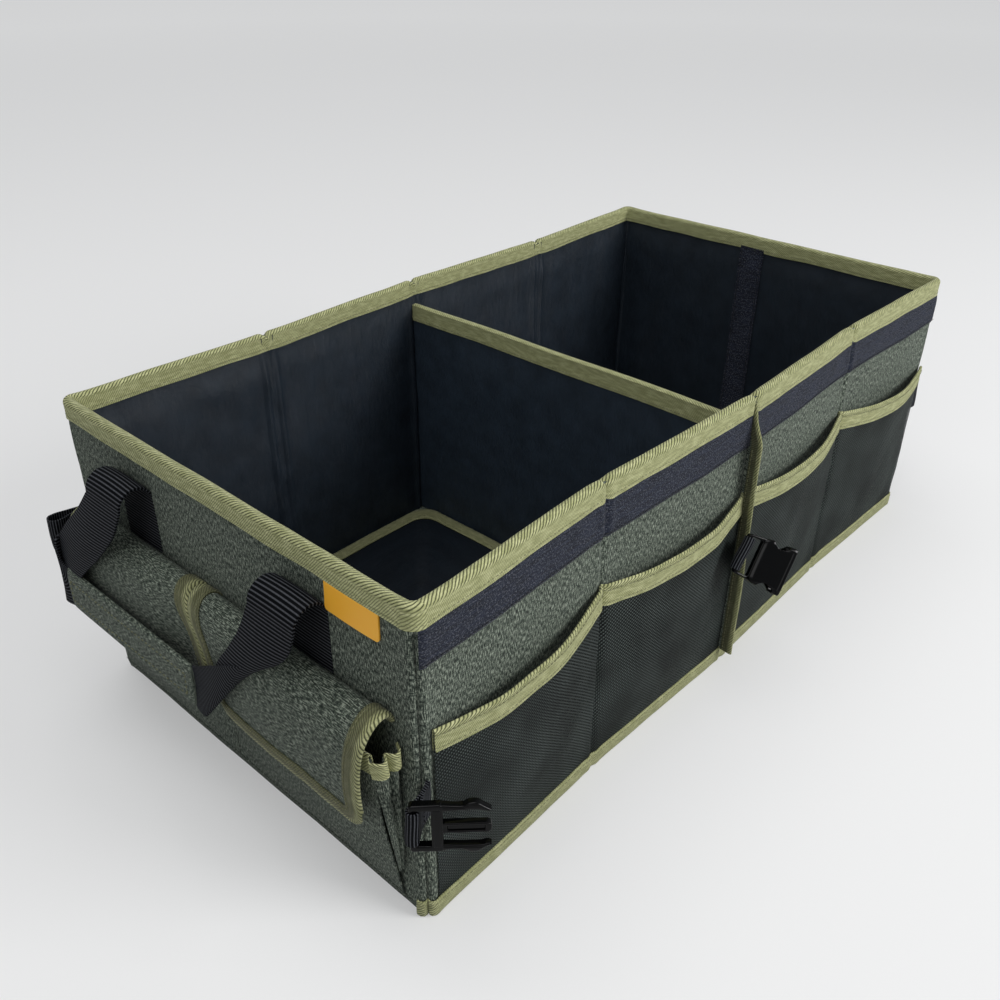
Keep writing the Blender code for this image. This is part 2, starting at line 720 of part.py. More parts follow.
def make_male_buckle(frame):
    """The pronged half: a slotted frame, a centre guide and two springy prongs."""
    half = BUCKLE_WIDTH / 2
    shoulder = BAR / 2 + BUCKLE_SLOT + CROSS_BAR
    tip = shoulder + PRONG_LENGTH
    inner = half - PRONG - PRONG_HOOK
    outline = mirrored([
        Vector((-BAR / 2, half)),
        Vector((shoulder, half)),
        Vector((shoulder + PRONG_LENGTH * 0.45, half - PRONG_WAIST)),
        Vector((shoulder + PRONG_LENGTH * 0.55, half + PRONG_HOOK)),
        Vector((shoulder + PRONG_LENGTH * 0.80, half - PRONG_HOOK)),
        Vector((tip, inner + PRONG_HOOK)),
        Vector((shoulder + PRONG_LENGTH * 0.73, inner)),
        Vector((shoulder + PRONG_LENGTH * 0.40, inner)),
        Vector((shoulder, inner - PRONG_HOOK / 2)),
        Vector((shoulder, GUIDE / 2)),
        Vector((tip - PRONG_HOOK, GUIDE / 2)),
        Vector((tip, GUIDE / 2 - GUIDE_CHAMFER)),
    ])
    made = outline_piece("male_buckle", [outline, slot_outline()], BUCKLE_PLATE, "buckle")
    made.matrix_world = frame @ Matrix.Rotation(math.radians(90), 4, "X")


def make_female_buckle(frame):
    """The socket half: a slotted tail and a hollow mouth with side windows."""
    half = BUCKLE_WIDTH / 2
    cross = BAR / 2 + BUCKLE_SLOT
    mouth = cross + SOCKET_LENGTH
    buried = cross + CROSS_BAR / 2
    tail = mirrored([Vector((-BAR / 2, half - SOCKET_TAPER)), Vector((buried, half - SOCKET_WALL / 2))])
    made = outline_piece("female_buckle", [tail, slot_outline()], BUCKLE_PLATE, "buckle")
    made.matrix_world = frame @ Matrix.Rotation(math.radians(90), 4, "X")

    def box(name, low, high):
        piece = block(name, low, high, "buckle")
        PARTS.objects.unlink(piece)
        CUTTERS.objects.link(piece)
        piece.matrix_world = frame
        piece.hide_render = True
        piece.display_type = "WIRE"
        return piece

    deep = SOCKET_DEPTH / 2
    shell = box("socket_shell", (cross + BAR / 6, -deep, -half), (mouth, deep, half))
    inner_half, inner_deep = half - SOCKET_WALL, deep - SOCKET_WALL
    hollow = box(
        "socket_hollow",
        (cross + CROSS_BAR * 0.6, -inner_deep, -inner_half),
        (mouth + CUT_PAST, inner_deep, inner_half),
    )
    window_deep = deep * WINDOW_TALL
    windows = box(
        "socket_windows",
        (cross + SOCKET_LENGTH * WINDOW_START, -window_deep, -half - CUT_PAST),
        (cross + SOCKET_LENGTH * WINDOW_END, window_deep, half + CUT_PAST),
    )
    for operation, cutter in (("UNION", shell), ("DIFFERENCE", hollow), ("DIFFERENCE", windows)):
        step = made.modifiers.new(cutter.name, "BOOLEAN")
        step.operation = operation
        step.object = cutter
        step.solver = "EXACT"


def make_ribbons_and_buckles():
    """Two lashing loops, and the buckle halves on their ribbons."""
    far_root = Vector((HALF_L + GAP, -HALF_W + LASH_FRONT_INSET, LASH_FRONT_Z))
    frame = Matrix.Translation(far_root + Vector((LASH_REACH, 0.0, 0.0)))
    ribbon_loop("lash_loop_far", frame, LASH_REACH, LASH_RADIUS, RIBBON_WIDTH, "webbing")
    near_root = Vector((-HALF_L - GAP + LASH_BACK_TUCK, HALF_W - LASH_BACK_INSET, LASH_BACK_Z))
    frame = Matrix.Translation(near_root - Vector((LASH_REACH, 0.0, 0.0)))
    frame = frame @ Matrix.Rotation(math.pi, 4, "Z")
    ribbon_loop("lash_loop_near", frame, LASH_REACH, LASH_RADIUS, RIBBON_WIDTH, "webbing")

    root = Vector((-HALF_L + MALE_ROOT[0], -HALF_W - MALE_ROOT[1], MALE_ROOT[2]))
    make_buckle("male", root, MALE_REACH, MALE_RIBBON_WAY, MALE_WAY, MALE_BAR, make_male_buckle)
    root = Vector((-FEMALE_ROOT[0], -HALF_W - FEMALE_ROOT[1], FEMALE_ROOT[2]))
    make_buckle("female", root, FEMALE_REACH, FEMALE_RIBBON_WAY, FEMALE_WAY, FEMALE_BAR, make_female_buckle)


def make_buckle(name, root, reach, ribbon_way, way, bar, make_half):
    """A ribbon from its sewn root to a buckle's bar, and that buckle half."""
    frame = axes_frame(root, ribbon_way, bar)
    x_axis, z_axis = frame.to_3x3().col[0], frame.to_3x3().col[2]
    frame.translation = root + x_axis * reach
    slant = -z_axis.x / x_axis.x
    ribbon_loop(name + "_buckle_ribbon", frame, reach, BAR_LOOP, RIBBON_WIDTH, "webbing", slant)
    make_half(axes_frame(frame.translation, way, bar))


def main():
    clear_scene()
    finish("outer_fabric", (0.075, 0.095, 0.075), 0.85)
    finish("lining", (0.012, 0.017, 0.024), 0.5)
    finish("board", (0.35, 0.33, 0.28), 0.7)
    finish("tape", (0.24, 0.25, 0.12), 0.8)
    finish("mesh", (0.02, 0.026, 0.022), 0.8)
    finish("pile", (0.018, 0.022, 0.03), 0.95)
    finish("webbing", (0.01, 0.011, 0.013), 0.6)
    finish("buckle", (0.006, 0.006, 0.007), 0.28)
    finish("tag", (0.8, 0.33, 0.02), 0.5)
    make_walls()
    make_bindings()
    make_divider()
    make_base_boards()
    make_mesh_pockets()
    make_end_pockets()
    make_end_trim()
    make_handle("near", -1, NEAR_FRONT_BEND, NEAR_BACK_SWING)
    make_handle("far", 1, HANDLE_BEND, 0.0)
    make_ribbons_and_buckles()


PARTS = collection("trunk_organizer")
CUTTERS = collection("cutters")
main()
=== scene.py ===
"""Looks of the car trunk organizer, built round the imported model.

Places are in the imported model's frame, in metres: +X runs from the near end with the flapped pockets
to the far end, the mesh pockets are on the -Y side, and the box stands on Z = 0.
The four walls are one ring: s is the distance along it, anticlockwise seen from above, from the
near end of the front wall. Cloth pieces are grids of points with their own cloth coordinates.
"""
import json
import math

import bmesh
import bpy
import numpy as np
from mathutils import Matrix, Vector, noise

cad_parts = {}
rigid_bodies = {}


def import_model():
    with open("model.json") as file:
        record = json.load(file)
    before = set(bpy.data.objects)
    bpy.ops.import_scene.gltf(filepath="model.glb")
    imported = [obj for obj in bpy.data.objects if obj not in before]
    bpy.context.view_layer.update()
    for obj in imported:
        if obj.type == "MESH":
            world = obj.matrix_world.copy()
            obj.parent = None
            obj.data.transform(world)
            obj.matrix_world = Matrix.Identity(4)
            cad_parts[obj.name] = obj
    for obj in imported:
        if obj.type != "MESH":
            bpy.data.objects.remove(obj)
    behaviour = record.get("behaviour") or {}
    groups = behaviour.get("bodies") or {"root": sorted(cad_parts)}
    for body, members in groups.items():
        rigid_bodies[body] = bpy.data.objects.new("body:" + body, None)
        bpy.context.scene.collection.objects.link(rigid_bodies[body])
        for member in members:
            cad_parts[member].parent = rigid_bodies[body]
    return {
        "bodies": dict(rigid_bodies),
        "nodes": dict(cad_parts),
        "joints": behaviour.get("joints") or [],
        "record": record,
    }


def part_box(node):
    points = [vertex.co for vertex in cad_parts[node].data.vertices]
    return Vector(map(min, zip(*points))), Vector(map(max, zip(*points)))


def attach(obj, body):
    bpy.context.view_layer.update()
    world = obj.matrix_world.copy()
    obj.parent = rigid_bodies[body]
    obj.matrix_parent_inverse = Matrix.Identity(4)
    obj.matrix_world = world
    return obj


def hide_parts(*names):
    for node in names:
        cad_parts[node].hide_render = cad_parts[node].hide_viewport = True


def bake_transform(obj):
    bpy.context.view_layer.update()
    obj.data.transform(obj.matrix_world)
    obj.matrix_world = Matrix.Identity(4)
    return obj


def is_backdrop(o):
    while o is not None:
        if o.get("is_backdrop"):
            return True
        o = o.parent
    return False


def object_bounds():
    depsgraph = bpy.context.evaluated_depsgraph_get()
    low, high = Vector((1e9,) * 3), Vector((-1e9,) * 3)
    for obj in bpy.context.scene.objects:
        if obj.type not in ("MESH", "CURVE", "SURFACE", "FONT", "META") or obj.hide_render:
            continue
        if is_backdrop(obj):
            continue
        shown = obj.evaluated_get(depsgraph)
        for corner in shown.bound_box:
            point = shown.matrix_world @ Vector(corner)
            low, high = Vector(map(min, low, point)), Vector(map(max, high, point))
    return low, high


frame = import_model()
cad_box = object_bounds()

# The box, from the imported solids
HALF_L = -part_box("near_fabric")[0].x
HALF_W = -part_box("front_fabric")[0].y
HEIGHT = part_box("rim_binding")[1].z
CORNER = 0.008
QUARTER = HALF_L / 2
FOLD_INSET = 0.005

# Plies
GAP = 0.0003
FABRIC = 0.0010
LINING = 0.0008
BOARD = 0.0022
TAPE = 0.0008
MESH = 0.0005
PILE = 0.0016
WEBBING = 0.0016
RIBBON = 0.0012
BOARD_IN = FABRIC + GAP
LINING_IN = BOARD_IN + BOARD + GAP
WALL = LINING_IN + LINING
RIM_LEG = 0.0145
STITCH = 0.0034
STITCH_LONG = 0.0024
STITCH_WIDE = 0.0006
STITCH_TALL = 0.0004
STITCH_LIFT = 0.0003
TAPE_FLARE = 0.0004
TAPE_FACE = GAP + TAPE + STITCH_LIFT
RIBBON_HALF = 0.0125
CLOSEST = 0.0006
RIM_LOW = HEIGHT - RIM_LEG
RIM_SEAM = 0.0026
RIM_OUTER, RIM_INNER = 6.1, 9.4  # seeds of the legs' wavy edges

# Colours of the finishes, linear
OUTER_COLOUR = (0.052, 0.068, 0.053)
OUTER_LIGHT = (0.290, 0.325, 0.262)
OUTER_DARK = (0.009, 0.014, 0.010)
LINING_COLOUR = (0.0095, 0.0145, 0.0215)
TAPE_COLOUR = (0.350, 0.362, 0.168)
# Dark tape colour: random grain, and painted shade in the rib grooves
TAPE_DARK = (0.055, 0.060, 0.022)
TAPE_LIGHT = (0.600, 0.605, 0.330)
MESH_COLOUR = (0.0045, 0.0064, 0.0060)
# Painted glint colour on the mesh's raised threads
MESH_PAINTED_GLINT = (0.105, 0.130, 0.120)
PILE_COLOUR = (0.0085, 0.0108, 0.0190)
PILE_SPECK = (0.17, 0.178, 0.21)
WEBBING_COLOUR = (0.0012, 0.0016, 0.0026)
# Painted highlight colour on the webbing's rib tops
WEBBING_PAINTED_HIGHLIGHT = (0.095, 0.100, 0.112)
BUCKLE_COLOUR = (0.0008, 0.0009, 0.0011)
TAG_COLOUR = (1.0, 0.50, 0.040)
TAG_DARK = (1.0, 0.44, 0.028)
BOARD_COLOUR = (0.20, 0.17, 0.12)
FLOOR_COLOUR = (0.51, 0.51, 0.51)
WORLD_LIGHT = (0.31, 0.32, 0.33, 1.0)
WORLD_SEEN = (0.61, 0.61, 0.615, 1.0)


# Material nodes

class Value:
    """A node's output, which can be added, subtracted and multiplied."""

    def __init__(self, graph, socket):
        self.graph, self.socket = graph, socket

    def __add__(self, other):
        return self.graph.math("ADD", self, other)

    def __sub__(self, other):
        return self.graph.math("SUBTRACT", self, other)

    def __rsub__(self, other):
        return self.graph.math("SUBTRACT", other, self)

    def __mul__(self, other):
        return self.graph.math("MULTIPLY", self, other)


class Graph:
    """A small helper that adds and links the nodes of one material."""

    def __init__(self, name, colour, roughness, specular=0.5):
        self.material = bpy.data.materials.new(name)
        self.material.use_nodes = True
        self.tree = self.material.node_tree
        self.shader = self.tree.nodes["Principled BSDF"]
        self.colour(colour)
        self.set("Roughness", roughness)
        self.set("Specular IOR Level", specular)

    def put(self, value, socket):
        if isinstance(value, Value):
            self.tree.links.new(value.socket, socket)
        elif hasattr(value, "__len__") and len(value) == 3 and len(socket.default_value) == 4:
            socket.default_value = (*value, 1.0)
        else:
            socket.default_value = value

    def node(self, kind, inputs=(), output=0, **settings):
        made = self.tree.nodes.new("ShaderNode" + kind)
        for key, value in settings.items():
            setattr(made, key, value)
        for key, value in dict(inputs).items():
            self.put(value, made.inputs[key])
        return Value(self, made.outputs[output])

    def math(self, operation, a, b=0.0, c=0.0):
        return self.node("Math", {0: a, 1: b, 2: c}, operation=operation)

    def scale(self, vector, share):
        return self.node("VectorMath", {0: vector, "Scale": share}, operation="SCALE")

    def mix(self, share, a, b):
        return self.node("Mix", {0: share, 6: a, 7: b}, 2, data_type="RGBA")

    def cloth(self, across=1.0, along=1.0):
        """The cloth's own coordinates, in millimetres times the given shares."""
        inputs = {0: self.node("UVMap", uv_map="cloth"), 1: (1000.0 * across, 1000.0 * along, 0.0)}
        return self.node("VectorMath", inputs, operation="MULTIPLY")

    def solid(self):
        """The object's own coordinates, in millimetres."""
        return self.scale(self.node("TexCoord", (), 3), 1000.0)

    def axes(self, place):
        """The first two axes of a place."""
        split = self.node("SeparateXYZ", {0: place}).socket.node
        return Value(self, split.outputs[0]), Value(self, split.outputs[1])

    def noise(self, place, scale, detail=2.0):
        return self.node("TexNoise", {"Vector": place, "Scale": scale, "Detail": detail})

    def sine(self, value, pitch):
        return self.math("SINE", value * (2 * math.pi / pitch))

    def weave(self, pitch):
        """A plain weave: a sine across one thread times a sine across the other."""
        across, along = self.axes(self.cloth())
        return self.sine(across, pitch) * self.sine(along, pitch)

    def ramp(self, value, low, high, to_low=0.0, to_high=1.0):
        return self.node("MapRange", {"Value": value, 1: low, 2: high, 3: to_low, 4: to_high})

    def bump(self, height, strength, distance):
        self.set("Normal", self.node("Bump", {"Height": height, "Strength": strength, "Distance": distance}))

    def colour(self, value):
        self.set("Base Color", value)

    def set(self, name, value):
        self.put(value, self.shader.inputs[name])

    def sheen(self, weight, roughness=0.5):
        self.set("Sheen Weight", weight)
        self.set("Sheen Roughness", roughness)


def tint(colour, share):
    """A colour made lighter or darker."""
    return tuple(channel * share for channel in colour)


def outer_fabric(name, warp_size=(1.9, 0.30), weft_size=(0.36, 1.9)):
    """Heathered woven polyester: plain weave with light and dark flecks along both threads."""
    g = Graph(name, OUTER_COLOUR, 0.88, 0.25)
    warp = g.noise(g.cloth(*warp_size), 1.0, 4.0)
    weft = g.noise(g.cloth(*weft_size), 1.0, 3.0)
    fleck = warp * 0.70 + weft * 0.30
    broad = g.ramp(g.noise(g.cloth(), 0.018), 0.3, 0.7, 0.0, 0.30)
    base = g.mix(broad, OUTER_COLOUR, tint(OUTER_COLOUR, 0.72))
    lit = g.mix(g.ramp(fleck, 0.50, 0.60), base, OUTER_LIGHT)
    g.colour(g.mix(g.ramp(fleck, 0.50, 0.41), lit, OUTER_DARK))
    g.bump(g.weave(0.9) * 0.35 + fleck * 1.6, 0.35, 0.00016)
    g.sheen(0.06)
    return g.material


def lining_cloth(name, shade=1.0, gloss=0.36):
    """Thin coated cloth with a dull satin gloss. The shade option scales its colour: above 1 it is painted
    light, below 1 painted shade.
    """
    base = tint(LINING_COLOUR, shade)
    g = Graph(name, base, 0.46, gloss)
    place = g.cloth()
    g.colour(g.mix(g.ramp(g.noise(place, 0.05, 3.0), 0.3, 0.7), base, tint(base, 1.5)))
    g.set("Roughness", g.ramp(g.noise(place, 0.3), 0.3, 0.7, 0.38, 0.54))
    creases = g.noise(g.cloth(0.13, 0.05), 1.0, 3.0)
    g.bump(g.weave(0.7) * 0.08 + creases, 0.5, 0.0015)
    return g.material


def ribbed_tape(name, shade=1.0, leg_painted_shade=1.0):
    """Binding tape with slanting ribs and paler patches at random. The grooves between the ribs are darkened
    as painted shade, and the two shade options darken the whole tape and its legs as painted shade, the crown
    staying lit.
    """
    base, dark, light = (tint(colour, shade) for colour in (TAPE_COLOUR, TAPE_DARK, TAPE_LIGHT))
    g = Graph(name, base, 0.82, 0.25)
    along, across = g.axes(g.cloth())
    from_middle = g.math("ABSOLUTE", across)
    crown = g.ramp(from_middle, 3.4, 5.6, 1.0, 0.0)
    drift = g.noise(g.cloth(0.25, 0.25), 1.0, 1.0) * 1.2

    def grooves(lean, pitch, low):
        """Slanting grooves, from 0 on the ribs to 1 between them."""
        slant = g.math("MULTIPLY_ADD", across, lean, along) + drift
        return 1.0 - g.ramp(g.math("ABSOLUTE", g.sine(slant, pitch)), low, 0.85)

    # The grooves' darkening in the colour below is painted shade between the ribs
    groove = crown * grooves(-1.5, 5.6, 0.22)
    fine_groove = (1.0 - crown) * grooves(-0.8, 3.6, 0.15)
    pale_patches = g.noise(g.cloth(0.12, 0.5), 1.0, 3.0)
    grain = g.noise(g.cloth(1.2, 1.2), 1.0)
    tone = g.mix(g.ramp(pale_patches, 0.40, 0.68, 0.0, 0.8), base, light)
    # Random grain darkening, then painted shade in the grooves
    for share in (g.ramp(grain, 0.45, 0.25, 0.0, 0.45), groove * 0.95, fine_groove * 0.72):
        tone = g.mix(share, tone, dark)
    # Painted shade on the legs either side of the crown
    g.colour(g.scale(tone, g.ramp(from_middle, 3.0, 5.0, 1.0, leg_painted_shade)))
    g.bump(grain * 0.35 - (fine_groove * 0.35 + groove), 0.80, 0.00042)
    g.sheen(0.1)
    return g.material


def mesh_cloth(name):
    """Knitted mesh: slanting rows of small holes between raised threads, with painted glints where the
    threads cross.
    """
    g = Graph(name, MESH_COLOUR, 0.62, 0.2)
    across, along = g.axes(g.cloth())
    cell = g.sine(across - along, 3.2) * 0.62 + g.sine(across + along, 2.7) * 0.38
    g.set("Alpha", g.ramp(cell, 0.46, 0.60, 1.0, 0.0))
    patches = g.ramp(g.noise(g.cloth(0.02, 0.02), 1.0), 0.35, 0.65, 0.30, 1.0)
    # Painted glints on the raised thread crossings, broken up in patches
    g.colour(g.mix(g.ramp(cell, -0.15, -0.75) * patches, MESH_COLOUR, MESH_PAINTED_GLINT))
    g.bump(cell * -1.0, 0.7, 0.0003)
    return g.material


def loop_pile(name):
    """Hook-and-loop pile: short dark fuzz with pale specks."""
    g = Graph(name, PILE_COLOUR, 0.95, 0.15)
    speck = g.ramp(g.noise(g.cloth(), 0.85, 3.0), 0.53, 0.64)
    rows = g.ramp(g.noise(g.cloth(0.06, 0.5), 1.0), 0.35, 0.65)
    g.colour(g.mix(speck * 0.55, g.mix(rows, PILE_COLOUR, tint(PILE_COLOUR, 2.3)), PILE_SPECK))
    g.bump(g.noise(g.cloth(), 1.6, 4.0), 0.9, 0.0011)
    g.sheen(0.12, 0.35)
    return g.material


def webbing_cloth(name, pitch=2.35):
    """Black webbing with ribs straight across, with painted highlights along the rib tops."""
    g = Graph(name, WEBBING_COLOUR, 0.6, 0.05)
    along, across = g.axes(g.cloth())
    rib = g.sine(along, pitch)
    fibre = g.ramp(g.noise(g.cloth(3.0, 0.8), 1.0), 0.3, 0.7, 0.45, 1.0)
    # Painted highlights on the rib tops, broken up by fibre noise
    g.colour(g.mix(g.ramp(rib, 0.10, 0.90) * fibre, WEBBING_COLOUR, WEBBING_PAINTED_HIGHLIGHT))
    g.bump(rib + g.sine(across, 0.8) * rib * 0.25, 0.55, 0.00022)
    return g.material


def moulded_plastic(name):
    """Black moulded plastic with a faint spark-eroded grain."""
    g = Graph(name, BUCKLE_COLOUR, 0.28, 0.18)
    g.set("Roughness", g.ramp(g.noise(g.solid(), 0.12, 3.0), 0.3, 0.7, 0.10, 0.20))
    g.bump(g.noise(g.solid(), 1.4), 0.08, 0.0002)
    return g.material


def tag_rubber(name):
    """Soft orange rubber with a low matt grain."""
    g = Graph(name, TAG_COLOUR, 0.45)
    g.colour(g.mix(g.ramp(g.noise(g.cloth(), 0.12, 3.0), 0.3, 0.7, 0.0, 0.35), TAG_COLOUR, TAG_DARK))
    g.bump(g.noise(g.cloth(), 2.2), 0.15, 0.0002)
    return g.material


def thread(name, colour):
    """Twisted thread."""
    g = Graph(name, colour, 0.7)
    twist = g.noise(g.solid(), 2.5)
    g.colour(g.mix(g.ramp(twist, 0.3, 0.7), tint(colour, 0.65), colour))
    g.bump(twist, 0.4, 0.0002)
    return g.material


def stiff_board(name):
    """Grey-brown board with long fibres."""
    g = Graph(name, BOARD_COLOUR, 0.8)
    fibre = g.noise(g.cloth(0.3, 1.0), 0.6, 4.0)
    g.colour(g.mix(g.ramp(fibre, 0.3, 0.7), BOARD_COLOUR, tint(BOARD_COLOUR, 0.7)))
    g.bump(fibre, 0.3, 0.0003)
    return g.material


# Each finish has its slot, the function that makes it, and that function's own options
RECIPES = {
    "outer_fabric": ("outer_fabric", outer_fabric),
    "flap_fabric": ("outer_fabric", outer_fabric, (0.28, 1.7), (1.9, 0.40)),
    "lining": ("lining", lining_cloth),
    # Painted light: a lighter copy of the lining for the divider's lit faces
    "divider_lining": ("lining", lining_cloth, 1.9, 0.45),
    # Painted shade: a darker copy of the lining for the shaded floor inside the box
    "base_lining": ("lining", lining_cloth, 0.55, 0.16),
    "tape": ("tape", ribbed_tape),
    # Painted shade: a darker copy of the tape for the bindings inside the box
    "inner_tape": ("tape", ribbed_tape, 0.62),
    # Painted shade: the flaps' tape darker, its legs darker still
    "flap_tape": ("tape", ribbed_tape, 0.80, 0.42),
    "green_thread": ("outer_fabric", thread, (0.055, 0.065, 0.045)),
    "mesh": ("mesh", mesh_cloth),
    "pile": ("pile", loop_pile),
    "webbing": ("webbing", webbing_cloth),
    "ribbon": ("webbing", webbing_cloth, 1.7),
    "buckle": ("buckle", moulded_plastic),
    "tag": ("tag", tag_rubber),
    "olive_thread": ("tape", thread, (0.22, 0.225, 0.115)),
    "pale_thread": ("outer_fabric", thread, (0.50, 0.52, 0.40)),
    "dark_thread": ("webbing", thread, (0.012, 0.014, 0.018)),
    "board": ("board", stiff_board),
    # Painted shade: the fin's tape darker, its legs much darker
    "fin_tape": ("tape", ribbed_tape, 0.85, 0.26),
}
FINISH = {key: make(key + "_finish", *options) for key, (slot, make, *options) in RECIPES.items()}


# Mesh building

def spots(x, y, z):
    """Points from their three coordinates, any of which may be one number."""
    return np.stack(np.broadcast_arrays(x, y, z), axis=-1)


def run_along(points):
    """The distance along a line of points, from 0 at the first."""
    return np.concatenate([[0.0], np.cumsum(np.linalg.norm(np.diff(points, axis=0), axis=1))])


def add_object(name, data):
    made = bpy.data.objects.new(name, data)
    bpy.context.scene.collection.objects.link(made)
    return made


def add_mesh(name, verts, faces, places=None):
    """An object with a mesh, and with cloth coordinates where they are given for each face's corners."""
    mesh = bpy.data.meshes.new(name)
    mesh.from_pydata(verts, [], faces)
    if places is not None:
        layer = mesh.uv_layers.new(name="cloth")
        layer.data.foreach_set("uv", np.asarray(places, np.float32).ravel())
    return add_object(name, mesh)


def shade_smooth(mesh, sharp=180):
    mesh.polygons.foreach_set("use_smooth", [True] * len(mesh.polygons))
    if sharp < 180:
        mesh.set_sharp_from_angle(angle=math.radians(sharp))


def soften(made, width, segments):
    """Adds a bevel on sharp edges."""
    soft = made.modifiers.new("edge", "BEVEL")
    soft.width = width
    soft.segments = segments
    soft.limit_method = "ANGLE"
    return soft


def set_up(made, finish, body, *replaced):
    """Gives a piece its finish and body, and hides the solids that it stands for."""
    made.data.materials.clear()
    made.data.materials.append(FINISH[finish])
    if body:
        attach(made, body)
    if replaced:
        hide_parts(*replaced)
    return made


def settle(made, sharp=50):
    """Turns the modifiers into the mesh and shades it smooth, except at sharp edges."""
    bpy.context.view_layer.update()
    graph = bpy.context.evaluated_depsgraph_get()
    mesh = bpy.data.meshes.new_from_object(made.evaluated_get(graph), depsgraph=graph)
    made.modifiers.clear()
    made.data = mesh
    mesh.name = made.name
    shade_smooth(mesh, sharp)
    return made


def cloth(name, points, finish, ply, side, *replaced, body="body", closed=False, runs=None):
    """A thick cloth from a grid of points, points[row][column].

    The ply grows along columns x rows when side is 1, against it when -1, and both ways when 0.
    runs gives each point's own distance along the cloth, where the grid isn't square to its threads.
    """
    points = np.asarray(points, float)
    rows, columns = points.shape[:2]
    u, v = run_along(points[rows // 2]), run_along(points[:, columns // 2])
    v -= v[-1] / 2
    if closed:
        last = np.linalg.norm(points[rows // 2, 0] - points[rows // 2, -1])
        u = np.append(u, u[-1] + last)
    wide = columns if closed else columns - 1
    faces, places = [], []
    for r in range(rows - 1):
        for c in range(wide):
            after = (c + 1) % columns
            here, above = r * columns, (r + 1) * columns
            faces.append((here + c, here + after, above + after, above + c))
            us = (u[c], u[c + 1], u[c + 1], u[c])
            if runs is not None:
                us = (runs[r][c], runs[r][after], runs[r + 1][after], runs[r + 1][c])
            places += list(zip(us, (v[r], v[r], v[r + 1], v[r + 1])))
    made = add_mesh(name, points.reshape(-1, 3).tolist(), faces, places)
    if ply:
        thick = made.modifiers.new("ply", "SOLIDIFY")
        thick.thickness = ply
        thick.offset = side
        thick.use_quality_normals = True
        settle(made)
    return set_up(made, finish, body, *replaced)


def declare_sheet(points):
    """Reads a cloth's grid of points as an array; nothing is declared or kept."""
    points = np.asarray(points, float)


def join(name, pieces):
    """Joins pieces of one finish and body into the first, under a new name."""
    first = pieces[0]
    with bpy.context.temp_override(active_object=first, selected_editable_objects=pieces):
        bpy.ops.object.join()
    first.name = name
    first.data.name = name
    return first


def wobble(places, size, seed=0.0):
    """Smooth noise from -1 to 1 at each place, with features about size across."""
    flat = np.asarray(places, float).reshape(-1, 3) / size + seed
    values = [noise.noise(Vector(place)) for place in flat]
    return np.array(values).reshape(np.asarray(places).shape[:-1])


def blend_step(value, low, high):
    share = np.clip((np.asarray(value, float) - low) / (high - low), 0.0, 1.0)
    return share * share * (3 - 2 * share)


def dent(distance, width):
    return np.exp(-((distance / width) ** 2))


def curve_through(points, count):
    """A smooth line through the points, resampled evenly."""
    points = np.asarray(points, float)
    padded = np.vstack([2 * points[0] - points[1], points, 2 * points[-1] - points[-2]])
    line = []
    for index in range(len(points) - 1):
        a, b, c, d = padded[index:index + 4]
        for t in np.linspace(0, 1, 24, endpoint=False):
            line.append(0.5 * (2 * b + (c - a) * t + (2 * a - 5 * b + 4 * c - d) * t ** 2
                               + (3 * b - a - 3 * c + d) * t ** 3))
    line.append(points[-1])
    line = np.array(line)
    run = run_along(line)
    even = np.linspace(0, run[-1], count)
    return np.stack([np.interp(even, run, line[:, axis]) for axis in range(line.shape[1])], axis=1)


# The ring of walls

LONG = 2 * (HALF_L - CORNER)
SHORT = 2 * (HALF_W - CORNER)
TURN = math.pi / 2 * CORNER
STARTS = np.cumsum([0, LONG, TURN, SHORT, TURN, LONG, TURN, SHORT, TURN])
AROUND = STARTS[-1]
FOLDS = (-QUARTER, 0.0, QUARTER)


def front_s(x):
    return x + HALF_L - CORNER


def far_s(y):
    return STARTS[2] + y + HALF_W - CORNER


def back_s(x):
    return STARTS[4] + HALF_L - CORNER - x


def near_s(y):
    return STARTS[6] + HALF_W - CORNER - y


FOLD_PLACES = [front_s(x) for x in FOLDS] + [back_s(x) for x in FOLDS]
CORNER_PLACES = [STARTS[k] + TURN / 2 for k in (1, 3, 5, 7)]


def fold_lean(x, z):
    """How far a long wall leans in at x, most at the quarter folds and towards the top."""
    share = np.minimum(1.0, np.abs(np.abs(x) - QUARTER) / (QUARTER - CORNER))
    return FOLD_INSET * (1 - share) * (0.75 + 0.45 * z / HEIGHT)


def ring(s, z):
    """Plan points and outward normals of the walls' plain outer face."""
    s, z = np.broadcast_arrays(np.mod(np.asarray(s, float), AROUND), np.asarray(z, float))
    piece = np.clip(np.searchsorted(STARTS, s, side="right") - 1, 0, 7)
    t = s - STARTS[piece]
    x, y = np.zeros_like(t), np.zeros_like(t)
    nx, ny = np.zeros_like(t), np.zeros_like(t)
    half_l, half_w = HALF_L - CORNER, HALF_W - CORNER
    for side, index in ((-1, 0), (1, 4)):
        at = piece == index
        along = side * (half_l - t)
        x = np.where(at, along, x)
        y = np.where(at, side * (HALF_W - fold_lean(along, z)), y)
        ny = np.where(at, side, ny)
    for side, index in ((1, 2), (-1, 6)):
        at = piece == index
        x = np.where(at, side * HALF_L, x)
        y = np.where(at, side * (t - half_w), y)
        nx = np.where(at, side, nx)
    centres = ((half_l, -half_w), (half_l, half_w), (-half_l, half_w), (-half_l, -half_w))
    for index, (cx, cy) in zip((1, 3, 5, 7), centres):
        at = piece == index
        angle = t / CORNER + math.pi / 2 * ((index - 1) // 2 - 1)
        nx = np.where(at, np.cos(angle), nx)
        ny = np.where(at, np.sin(angle), ny)
        x = np.where(at, cx + CORNER * np.cos(angle), x)
        y = np.where(at, cy + CORNER * np.sin(angle), y)
    return x, y, nx, ny


def ring_gap(s, place):
    """Distance along the ring from place, the short way round."""
    away = np.abs(np.mod(np.asarray(s, float) - place, AROUND))
    return np.minimum(away, AROUND - away)


def nearest(s, places):
    return np.min([ring_gap(s, place) for place in places], axis=0)


